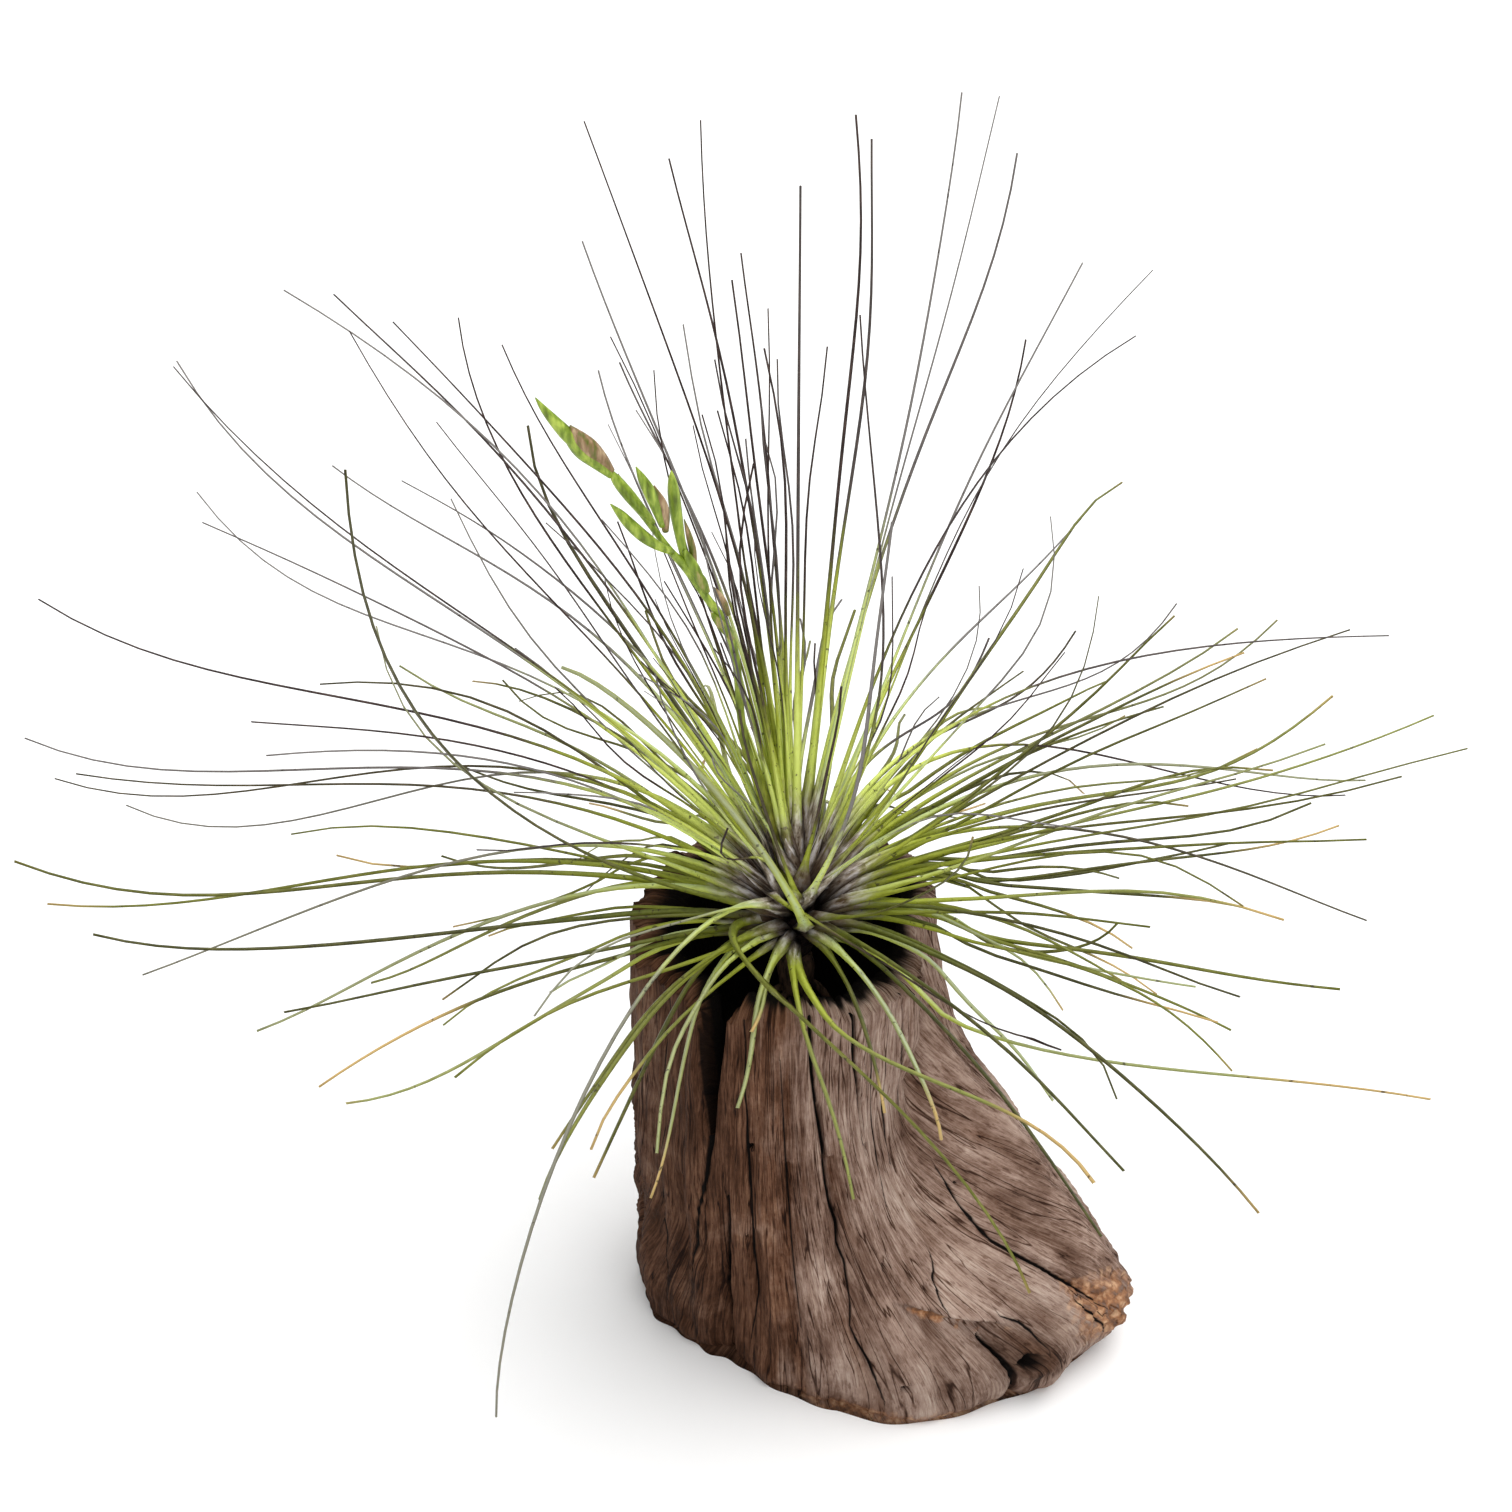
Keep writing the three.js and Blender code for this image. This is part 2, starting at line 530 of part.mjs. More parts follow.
// A wiry root that leaves the stem foot, spreads, and stands on the floor of the hollow.
function root(index) {
  const out = direction((360 * index) / ROOTS + 20 * Math.sin(3 * index), 0);
  const reach = ROOT_REACH * (0.85 + 0.15 * Math.sin(5 * index));
  const at = (share, height) => [STEM_X + share * reach * out.x, share * reach * out.y, height];
  const floor = HOLLOW_FLOOR + ROOT_FLOOR_GAP + ROOT_RADIUS;
  const start = 68 - 0.3 * index;
  const path = curveThrough([at(0.05, start), at(0.5, start - 2), at(0.85, start - 7), at(0.8, floor)]);
  const section = polygon(ROOT_SIDES, ROOT_RADIUS);
  return solid(new THREE.ExtrudeGeometry(section, { steps: ROOT_STEPS, extrudePath: path }));
}

function stemFoot() {
  const foot = solid(turned(STEM_FOOT_PROFILE, STEM_FOOT_SIDES).translate(STEM_X, 0, 0));
  const roots = Array.from({ length: ROOTS }, (unused, index) => root(index));
  return geometryOf(wasm.Manifold.union([foot, ...roots]));
}

function named(name, geometry, color, roughness) {
  const material = new THREE.MeshStandardMaterial({ color, roughness, metalness: 0, flatShading: true });
  const mesh = new THREE.Mesh(geometry, material);
  mesh.name = name;
  return mesh;
}

const airPlant = new THREE.Group();
airPlant.add(named("driftwood_stump", driftwoodStump(), "#6b5044", 0.9));
airPlant.add(named("stem_foot_with_roots", stemFoot(), "#3d2e24", 0.85));
airPlant.add(named("leaf_rosette", leafRosette(), "#86a33c", 0.6));
airPlant.add(named("flower_spike", flowerSpike(), "#7bb02a", 0.5));

export default airPlant;
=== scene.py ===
import functools
import math

import bmesh
import bpy
import numpy as np
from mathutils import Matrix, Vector, noise


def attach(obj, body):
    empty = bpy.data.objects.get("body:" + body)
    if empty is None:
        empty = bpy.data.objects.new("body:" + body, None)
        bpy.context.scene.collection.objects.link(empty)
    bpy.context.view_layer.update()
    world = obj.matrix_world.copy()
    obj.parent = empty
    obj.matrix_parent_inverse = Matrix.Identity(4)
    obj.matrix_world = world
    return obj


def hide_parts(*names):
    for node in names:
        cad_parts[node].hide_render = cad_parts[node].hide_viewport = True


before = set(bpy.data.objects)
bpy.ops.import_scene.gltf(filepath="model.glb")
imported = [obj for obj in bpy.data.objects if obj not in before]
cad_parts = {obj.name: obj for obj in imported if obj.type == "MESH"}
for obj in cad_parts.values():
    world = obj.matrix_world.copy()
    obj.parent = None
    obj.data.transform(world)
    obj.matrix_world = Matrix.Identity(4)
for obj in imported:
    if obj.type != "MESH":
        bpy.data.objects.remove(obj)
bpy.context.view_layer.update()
MM = 0.001


# Camera: a longish lens that looks down on the plant from the front, from about half a metre
# away, and holds all of it.
CAMERA_TARGET = (-5.2, 0, 111.7)
CAMERA_DISTANCE = 480
CAMERA_PITCH = 32
LENS_OVER_SENSOR = 1.984

pitch = math.radians(CAMERA_PITCH)
camera = bpy.data.objects.new("camera", bpy.data.cameras.new("camera"))
camera.data.sensor_width = 36
camera.data.lens = LENS_OVER_SENSOR * camera.data.sensor_width
camera.data.clip_start = 0.05
camera.location = MM * (
    Vector(CAMERA_TARGET) + CAMERA_DISTANCE * Vector((0, -math.cos(pitch), math.sin(pitch)))
)
camera.rotation_euler = (math.radians(90) - pitch, 0, 0)
bpy.context.scene.collection.objects.link(camera)
bpy.context.scene.camera = camera


# Driftwood stump: one piece of weathered root wood with a rotted-out top. The trunk stands
# upright, its grain sweeps out to the right into a root foot, and drying has split it.
TRUNK_RADIUS = 25
# The trunk is thicker by this on its left, and thinner by it on its right.
TRUNK_OFFSET = 0.9
STUMP_HEIGHT = 81.5
RIM_SLOPE = 4
RIM_HIGH_SIDE = 60
# Here and below, a half is the half width at which a bell curve falls to about a third.
RIM_LOW_SIDE = {"azimuth": 322, "half": 21, "drop": 4.3}
HOLLOW_RADIUS = 18
HOLLOW_FLOOR_RADIUS = 12
HOLLOW_FLOOR = 55
# Root flare, round the trunk: azimuth, radius at the floor and height at which it starts.
FLARE = [
    (2, 57, 75), (18, 44.5, 66), (42, 33, 55), (75, 28.5, 50), (110, 26.5, 50), (150, 26, 50),
    (185, 25.8, 50), (215, 23.6, 40), (240, 22.6, 40), (265, 26.6, 60), (285, 34.4, 62), (298, 41, 57),
    (310, 47.6, 52), (322, 54, 54), (333, 60.3, 62), (347, 65, 76),
]
# The foot is tucked in under its end.
FOOT_TUCK = {"azimuth": 343, "height": 12, "depth": 8.5}
# Waves round the trunk: count, depth and phase.
BARK_FLUTES = [(11, 0.45, 0.8), (23, 0.3, 2.1)]
RIM_CHIPS = [(7, 0.6, 1), (13, 0.4, 0)]
HOLLOW_WAVES = [(5, 0.7, 2), (11, 0.4, 0)]

# Cracks: depth, then azimuth, height and half width at each point.
CRACKS = [
    (2.5, [(277.5, 84, 0.3), (279, 68, 0.26), (281, 59.5, 0.24), (283.6, 51, 0.3), (284.3, 44, 0.2),
        (286, 39, 0.22), (288, 36, 0.28), (287.7, 32, 0.2), (289.5, 29, 0.14), (290.3, 23.5, 0.1),
        (289.8, 17, 0.08), (291.5, 14, 0.16), (294, 10.5, 0.2), (296, 4, 0.05)]),
    (2, [(240.5, 53, 0.6), (239, 47, 0.3), (238, 41, 0.22), (235.5, 35, 0.2), (233.4, 28, 0.15),
        (229.7, 20, 0.04)]),
    (2.5, [(246.4, 40, 0.1), (246.1, 34, 0.22), (244, 23, 0.3), (241.4, 16.7, 0.36), (242, 10, 0.28),
        (242.3, 0, 0.3)]),
    (1.5, [(252.5, 84, 0.05), (253.7, 61, 0.12), (254.4, 51, 0.18), (255.5, 42, 0.16), (256.2, 35, 0.12),
        (256, 27, 0.16), (257.9, 18, 0.16), (256.5, 13, 0.12), (254.5, 7, 0.04)]),
    (2.5, [(295, 84, 0.4), (296, 67, 0.24), (298.2, 59, 0.15), (298, 51, 0.04)]),
    (2, [(316, 84, 0.15), (320.7, 77, 0.16), (321.7, 70, 0.16), (323.8, 57.5, 0.18), (324.5, 48, 0.04)]),
    (2, [(327.5, 40, 0.06), (327, 34, 0.18), (328.4, 28.5, 0.22), (330.8, 25.8, 0.26),
        (333.2, 23.2, 0.28), (335.3, 20.3, 0.3), (337.6, 17, 0.25), (339, 13.5, 0.06)]),
    (1.5, [(335, 16.5, 0.06), (336.5, 13, 0.22), (338, 9, 0.06)]),
    (1.5, [(321.5, 18.3, 0.06), (324.3, 16.6, 0.2), (325.3, 15, 0.2), (326, 12, 0.04)]),
    (1.2, [(313.8, 29, 0.04), (312.2, 25, 0.16), (311, 21.5, 0.06)]),
    (3, [(186.8, 32, 0.1), (188, 26, 0.4), (190, 16, 0.9), (191.5, 6, 1.2), (192, -2, 1.4)]),
    (5, [(317.5, 15, 0.05), (319.6, 11.5, 0.35), (321.5, 7, 0.7), (323, -2, 1.3)]),
    (0.8, [(267, 70, 0.03), (268, 60, 0.08), (269.5, 47, 0.12), (272, 30, 0.1), (275, 15, 0.03)]),
    (0.8, [(303, 70, 0.03), (304, 60, 0.1), (305.5, 48, 0.14), (305, 38, 0.03)]),
    (0.8, [(310, 66, 0.03), (311.5, 52, 0.12), (311, 44, 0.03)]),
    (1, [(218, 78, 0.06), (217, 55, 0.16), (214, 30, 0.14), (212, 8, 0.03)]),
    (2.5, [(20, 84, 0.3), (14, 60, 0.3), (8, 40, 0.25), (4, 22, 0.06)]),
    (3, [(75, 86, 0.4), (77, 62, 0.3), (74, 40, 0.2), (73, 22, 0.05)]),
    (2.5, [(118, 60, 0.05), (120, 40, 0.3), (119, 18, 0.3), (121, -2, 0.4)]),
    (3, [(150, 86, 0.4), (152, 66, 0.3), (149, 44, 0.2), (151, 30, 0.05)]),
]
# Furrows: wide, shallow and round-bottomed, in the same terms.
FURROWS = [
    (1.7, [(286, 48, 1), (289.2, 32.7, 2.2), (291.1, 18.7, 2.4), (293, 12.3, 2.2), (295.7, 3, 2)]),
    (1.2, [(269.7, 48, 1), (269.8, 31.7, 1.8), (271, 20, 2), (273, 11, 2), (276, 3, 1.8)]),
    (1.4, [(309.5, 24, 1), (307.7, 15, 2), (307.7, 5, 2)]),
    (1.6, [(334, 58, 1), (336.6, 50, 2), (338.9, 46, 2.2), (340.7, 42.6, 2.2), (342.5, 36, 1)]),
    (1.5, [(330, 38, 1), (334.4, 32, 2), (337, 27, 2), (339, 21, 1)]),
    (1.0, [(258, 32, 1), (259, 18, 1.6), (262, 5, 1.6)]),
    (1.3, [(226, 40, 1), (224, 24, 1.8), (222, 6, 1.8)]),
    (1.5, [(20, 60, 1.5), (14, 40, 2.2), (8, 20, 2.2), (6, 5, 2)]),
    (1.5, [(60, 70, 1.2), (56, 40, 2.2), (52, 10, 2.2)]),
    (1.5, [(102, 75, 1.2), (104, 40, 2.2), (103, 8, 2.2)]),
]
SLOT = {"azimuth": 240.4, "bottom": 51, "bottom_half": 0.6, "top_half": 3.1}
KNOT = {"azimuth": 323.8, "height": 9.6, "radius": 1.8, "depth": 4, "dirty_radius": 7.5}
# A valley parts the upright column from the root that runs out to the foot, and the root is
# waisted above its raised end.
VALLEY = {"azimuth": 322, "height": 36, "lean": 0.55, "half": 6.5, "depth": 3.2}
VALLEY_ENDS = [(28, 50), (70, 85)]
WAIST = {"azimuth": 8, "half": 24, "height": 30, "half_height": 13, "depth": 2.6}
# A worn ledge crosses the toes. It falls to the right, swells over its lip and is undercut.
LEDGE = {"azimuth": 302, "height": 22.8, "fall": 0.3, "swell": 1.0, "undercut": 1.9}
LEDGE_ENDS = [(299, 305), (318, 326)]
# The foot's broken end, crumbled and pitted.
BROKEN_END = {"azimuth": 341, "half": 8.5, "height": 12, "fall": 0.35, "half_height": 7, "crumbs": 1.5}
# How far the grain turns out of the upright as the flare spreads, away from its middle line.
GRAIN_TURN = 26
GRAIN_MIDDLE = 256
# The mesh: its sides, and its rings on the underside, outside, rim, inside and hollow floor.
# Its columns are up to the shift, in degrees, out of their even places, closer together on the
# foot's side, where the same angle is a longer way.
STUMP_SIDES = 360
STUMP_RINGS = (4, 230, 11, 22, 2)
COLUMN_SHIFT = 20
COLUMN_MIDDLE = 305
# Lengths that differ by less than this are the same.
TINY = 0.01


def lerp(low, high, share):
    return low + (high - low) * share


def smoothstep(value, low, high):
    share = np.clip((value - low) / (high - low), 0, 1)
    return share * share * (3 - 2 * share)


def bell(away, half, power=2):
    """A smooth hump: 1 in the middle, about a third at its half width and then 0."""
    return np.exp(-((away / half) ** power))


def turned_from(middle, azimuth):
    """Degrees from one azimuth to another, between -180 and 180."""
    return np.mod(azimuth - middle + 180, 360) - 180


def facing(azimuth, middle, low):
    """How far a wall looks towards an azimuth, from 0 to 1."""
    return smoothstep(np.cos(np.radians(azimuth - middle)), low, 0.95)


def waves(rows, azimuth):
    """The sum of sine waves round the trunk."""
    return sum(depth * np.sin(count * np.radians(azimuth) + phase) for count, depth, phase in rows)


def through(a, b, c, d, t):
    """The point a share t of the way from b to c, on a smooth curve through all four."""
    return b + 0.5 * t * (c - a + t * (2 * a - 5 * b + 4 * c - d + t * (3 * (b - c) + d - a)))


def flare_at(azimuth):
    """Floor radius and flare height, on a smooth closed curve through the rows of FLARE."""
    rows = np.array(FLARE)
    turn = np.mod(azimuth, 360)
    following = np.searchsorted(rows[:, 0], turn, side="right")
    near = [rows[(following + step) % len(rows)] for step in (-2, -1, 0, 1)]
    span = np.mod(near[2][..., 0] - near[1][..., 0], 360)
    share = np.mod(turn - near[1][..., 0], 360) / span
    found = through(*(row[..., 1:] for row in near), share[..., None])
    return found[..., 0], found[..., 1]


def bark_radius(azimuth, height):
    """Radius of the stump's outside before the fine relief."""
    trunk = TRUNK_RADIUS - TRUNK_OFFSET * np.cos(np.radians(azimuth))
    floor_radius, flare_height = flare_at(azimuth)
    spread = 1 - smoothstep(height / flare_height, 0, 1)
    at_foot = np.maximum(0, np.cos(np.radians(azimuth - FOOT_TUCK["azimuth"]))) ** 6
    tuck = FOOT_TUCK["depth"] * at_foot * np.maximum(0, 1 - height / FOOT_TUCK["height"]) ** 1.5
    return lerp(trunk, floor_radius, spread) + waves(BARK_FLUTES, azimuth) - tuck


def rim_height(azimuth):
    slope = RIM_SLOPE * np.cos(np.radians(azimuth - RIM_HIGH_SIDE))
    return STUMP_HEIGHT + slope + waves(RIM_CHIPS, azimuth)


def fractal(points, octaves):
    """Seeded fractal noise, about -1 to 1, at each point of an array."""
    return np.array([noise.fractal(Vector(point), 0.9, 2.0, octaves) for point in points])


def as_mesh(name, shape):
    """Turns a finished bmesh into a mesh."""
    mesh = bpy.data.meshes.new(name)
    shape.to_mesh(mesh)
    shape.free()
    return mesh


def set_attribute(mesh, name, values):
    """Keeps one number or one vector for each vertex, for the material to read."""
    kind, field = ("FLOAT", "value") if values.ndim == 1 else ("FLOAT_VECTOR", "vector")
    attribute = mesh.attributes.get(name) or mesh.attributes.new(name, kind, "POINT")
    attribute.data.foreach_set(field, values.astype(np.float32).ravel())


def show(name, mesh, material, replaced):
    """Makes a mesh in metres a piece of the object, which is all one body."""
    piece = bpy.data.objects.new(name, mesh)
    mesh.materials.append(material)
    bpy.context.scene.collection.objects.link(piece)
    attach(piece, "root")
    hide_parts(replaced)


def linear(hex_code):
    """An sRGB hex colour as linear red, green, blue and alpha."""
    channels = [int(hex_code[i : i + 2], 16) / 255 for i in (1, 3, 5)]
    return [c / 12.92 if c <= 0.04045 else ((c + 0.055) / 1.055) ** 2.4 for c in channels] + [1]


def add_node(tree, kind, inputs=None, stops=None, **settings):
    """Adds a shader node with its settings, its inputs and a ramp's colour stops. An input is a
    plain value, a socket to link, or a node, which stands for its first socket in use."""
    node = tree.nodes.new("ShaderNode" + kind)
    for name, value in settings.items():
        setattr(node, name, value)
    for socket, value in (inputs or {}).items():
        if isinstance(value, bpy.types.Node):
            value = next(output for output in value.outputs if output.enabled)
        if isinstance(value, bpy.types.NodeSocket):
            tree.links.new(value, node.inputs[socket])
        else:
            node.inputs[socket].default_value = value
    for i, (place, colour) in enumerate(stops or []):
        if i < 2:
            node.color_ramp.elements[i].position = min(place, 1)
        stop = node.color_ramp.elements[i] if i < 2 else node.color_ramp.elements.new(place)
        stop.color = linear(colour)
    return node


def new_material(name):
    """An empty node material, and add_node for its own tree."""
    material = bpy.data.materials.new(name)
    material.use_nodes = True
    material.node_tree.nodes.clear()
    return material, functools.partial(add_node, material.node_tree)


def weathered_driftwood():
    """Old root wood, paled by sun and water: soft fibres eroded into fine ridges, mauve-grey where
    it is paled, paler still on the lit side as painted light, brown in the lee as painted shade,
    raw orange where it broke, and black in cracks and the hollow as painted shade."""
    material, add = new_material("weathered_driftwood")
    fields = ("grain", "wear_and_painted_light", "crack")
    grain, wear_and_painted_light, crack = (add("Attribute", attribute_name=name).outputs["Vector"] for name in fields)
    # Its parts: bleaching with painted light and shade, raw wood, and painted shade with the stain round the
    # knot.
    bleach_and_painted_light, raw, hollow = add("SeparateXYZ", {0: wear_and_painted_light}).outputs
    offset, half, wide = add("SeparateXYZ", {0: crack}).outputs
    place = add("TexCoord").outputs["Object"]
    # Patterns along the grain: scale across it, scale along it, detail and roughness.
    along_grain = {
        # Fibres are 0.3 mm wide and run on for about 7 mm. The flare spreads the grain to twice
        # its width and more, so there the same fibres are drawn finer.
        "fibre": (3.4, 0.15, 6, 0.75),
        "fine fibre": (6.4, 0.17, 6, 0.75),
        # Weathered bands, 2 mm by 25 mm.
        "band": (0.5, 0.04, 5, 0.7),
        # Hairline checks: thin dark lines up to 20 mm long.
        "check": (0.7, 0.022, 2, 0.5),
        # Pores: dark dashes 0.3 mm by 3 mm, drawn coarser than the real ones so that they show.
        "pore": (4.2, 0.36, 2, 0.6),
    }
    drawn = {}
    for name, (across, along, detail, roughness) in along_grain.items():
        spot = add("VectorMath", {0: grain, 1: (across, across, along)}, operation="MULTIPLY")
        drawn[name] = add("TexNoise", {0: spot, "Scale": 1, "Detail": detail, "Roughness": roughness})
    band = drawn["band"]
    fibre = add("Mix", {0: wide, 2: drawn["fibre"], 3: drawn["fine fibre"]})
    # Stains one to three centimetres across.
    stain = add("TexNoise", {0: place, "Scale": 60, "Detail": 6, "Roughness": 0.68})
    # A check runs where its pattern crosses the middle value.
    lines = add("Math", {0: drawn["check"], 1: 0.5}, operation="SUBTRACT")
    lines = add("Math", {0: lines}, operation="ABSOLUTE")
    lines = add("MapRange", {0: lines, 1: 0.002, 2: 0.013, 3: 0.5, 4: 0})
    pores = add("MapRange", {0: drawn["pore"], 1: 0.57, 2: 0.66, 3: 0, 4: 0.2})
    lines = add("Math", {0: lines, 1: pores}, operation="ADD")
    tone = add("Math", {0: fibre, 1: 0.85}, operation="MULTIPLY")
    tone = add("Math", {0: band, 1: 0.5, 2: tone}, operation="MULTIPLY_ADD")
    tone = add("Math", {0: stain, 1: 0.55, 2: tone}, operation="MULTIPLY_ADD")
    tone = add("MapRange", {0: tone, 1: 0.66, 2: 1.2})
    tone = add("Math", {0: tone, 1: lines}, operation="SUBTRACT", use_clamp=True)
    brown = add("ValToRGB", {0: tone},
                stops=[(0.02, "#24120a"), (0.97, "#9c765c"), (0.38, "#4e3120"), (0.62, "#6e4c39")])
    grey = add("ValToRGB", {0: tone},
               stops=[(0.02, "#402b20"), (0.97, "#d2beae"), (0.38, "#83685a"), (0.62, "#aa9183")])
    # Bleaching follows the stains. Painted light and shade come with it: paler on the lit side and on raised
    # relief, darker in the lee and in grooves.
    pale = add("Math", {0: stain, 1: 1.3, 2: bleach_and_painted_light}, operation="MULTIPLY_ADD")
    pale = add("MapRange", {0: pale, 1: 0.7, 2: 1.6})
    # Torn wood is paler and orange, in crumbs of about 1 mm.
    crumbs = add("TexNoise", {0: place, "Scale": 650, "Detail": 4})
    torn = add("ValToRGB", {0: crumbs}, stops=[(0.34, "#5a3620"), (0.66, "#d8ae8a"), (0.5, "#ab7650")])
    bare = add("Math", {0: crumbs, 1: raw}, operation="ADD")
    bare = add("MapRange", {0: bare, 1: 0.8, 2: 1.3})
    # A narrow crack is painted dark as the shade in it, where the signed distance from its middle is less
    # than its half width.
    wander = add("Math", {0: fibre, 1: 0.5}, operation="SUBTRACT")
    offset = add("Math", {0: wander, 1: 0.5, 2: offset}, operation="MULTIPLY_ADD")
    away = add("Math", {0: offset}, operation="ABSOLUTE")
    inside = add("Math", {0: half, 1: away}, operation="SUBTRACT")
    split = add("MapRange", {0: inside, 1: -0.12, 2: 0.06})
    wood = brown
    # Near-black layers: narrow cracks drawn as painted shade, then the painted shade of the hollow, slot,
    # knot hole, ledge lip and lee side, with the stain round the knot and the darkening near the floor.
    shade_and_stain_layers = [(split, linear("#0c0705")), (hollow, linear("#0d0806"))]
    for share, layer in [(pale, grey), (bare, torn)] + shade_and_stain_layers:
        wood = add("Mix", {0: share, 6: wood, 7: layer}, data_type="RGBA")
    relief = fibre
    for layer, weight in ((band, 0.5), (lines, -0.4), (split, -0.5)):
        relief = add("Math", {0: layer, 1: weight, 2: relief}, operation="MULTIPLY_ADD")
    bump = add("Bump", {"Height": relief, "Strength": 1, "Distance": 0.45 * MM})
    shader = add("BsdfPrincipled", {
        "Base Color": wood, "Roughness": 0.8, "IOR": 1.45, "Specular IOR Level": 0.12, "Normal": bump})
    add("OutputMaterial", {"Surface": shader})
    return material


def spin_round_axis(shape, sides):
    """Turns an outline once round the Z axis and closes it into a solid."""
    bmesh.ops.spin(shape, geom=shape.verts[:] + shape.edges[:], cent=(0, 0, 0), axis=(0, 0, 1),
                   angle=2 * math.pi, steps=sides, use_merge=True)
    bmesh.ops.remove_doubles(shape, verts=shape.verts, dist=0.001)
    bmesh.ops.recalc_face_normals(shape, faces=shape.faces)


def turned_cup(sides, rings):
    """A plain hollow-topped cylinder of quads, spun from its outline."""
    corners = [(0, 0), (TRUNK_RADIUS, 0), (TRUNK_RADIUS, STUMP_HEIGHT)]
    corners += [(HOLLOW_RADIUS, STUMP_HEIGHT), (HOLLOW_FLOOR_RADIUS, HOLLOW_FLOOR), (0, HOLLOW_FLOOR)]
    cup = bmesh.new()
    points = [cup.verts.new((radius, 0, height)) for radius, height in corners]
    edges = [cup.edges.new(pair) for pair in zip(points, points[1:])]
    for edge, cuts in zip(edges, rings):
        bmesh.ops.subdivide_edges(cup, edges=[edge], cuts=cuts)
    spin_round_axis(cup, sides)
    return as_mesh("stump", cup)


def nearest_line(lines, azimuth, height, radius):
    """For each point: the signed distance from the nearest line, and its half width and depth."""
    best = np.full(azimuth.shape, 1e6)
    offset, half, depth = (np.zeros(azimuth.shape) for unused in range(3))
    for line_depth, rows in lines:
        for (az0, h0, half0), (az1, h1, half1) in zip(rows, rows[1:]):
            side0, side1 = (turned_from(azimuth, az) * np.pi / 180 * radius for az in (az0, az1))
            up0, up1 = h0 - height, h1 - height
            run, rise = side1 - side0, up1 - up0
            share = np.clip(-(side0 * run + up0 * rise) / (run * run + rise * rise), 0, 1)
            across, up = side0 + share * run, up0 + share * rise
            distance = np.hypot(across, up)
            closer = distance < best
            best = np.where(closer, distance, best)
            offset = np.where(closer, distance * np.sign(across), offset)
            half = np.where(closer, lerp(half0, half1, share), half)
            depth = np.where(closer, line_depth, depth)
    return offset, half, depth


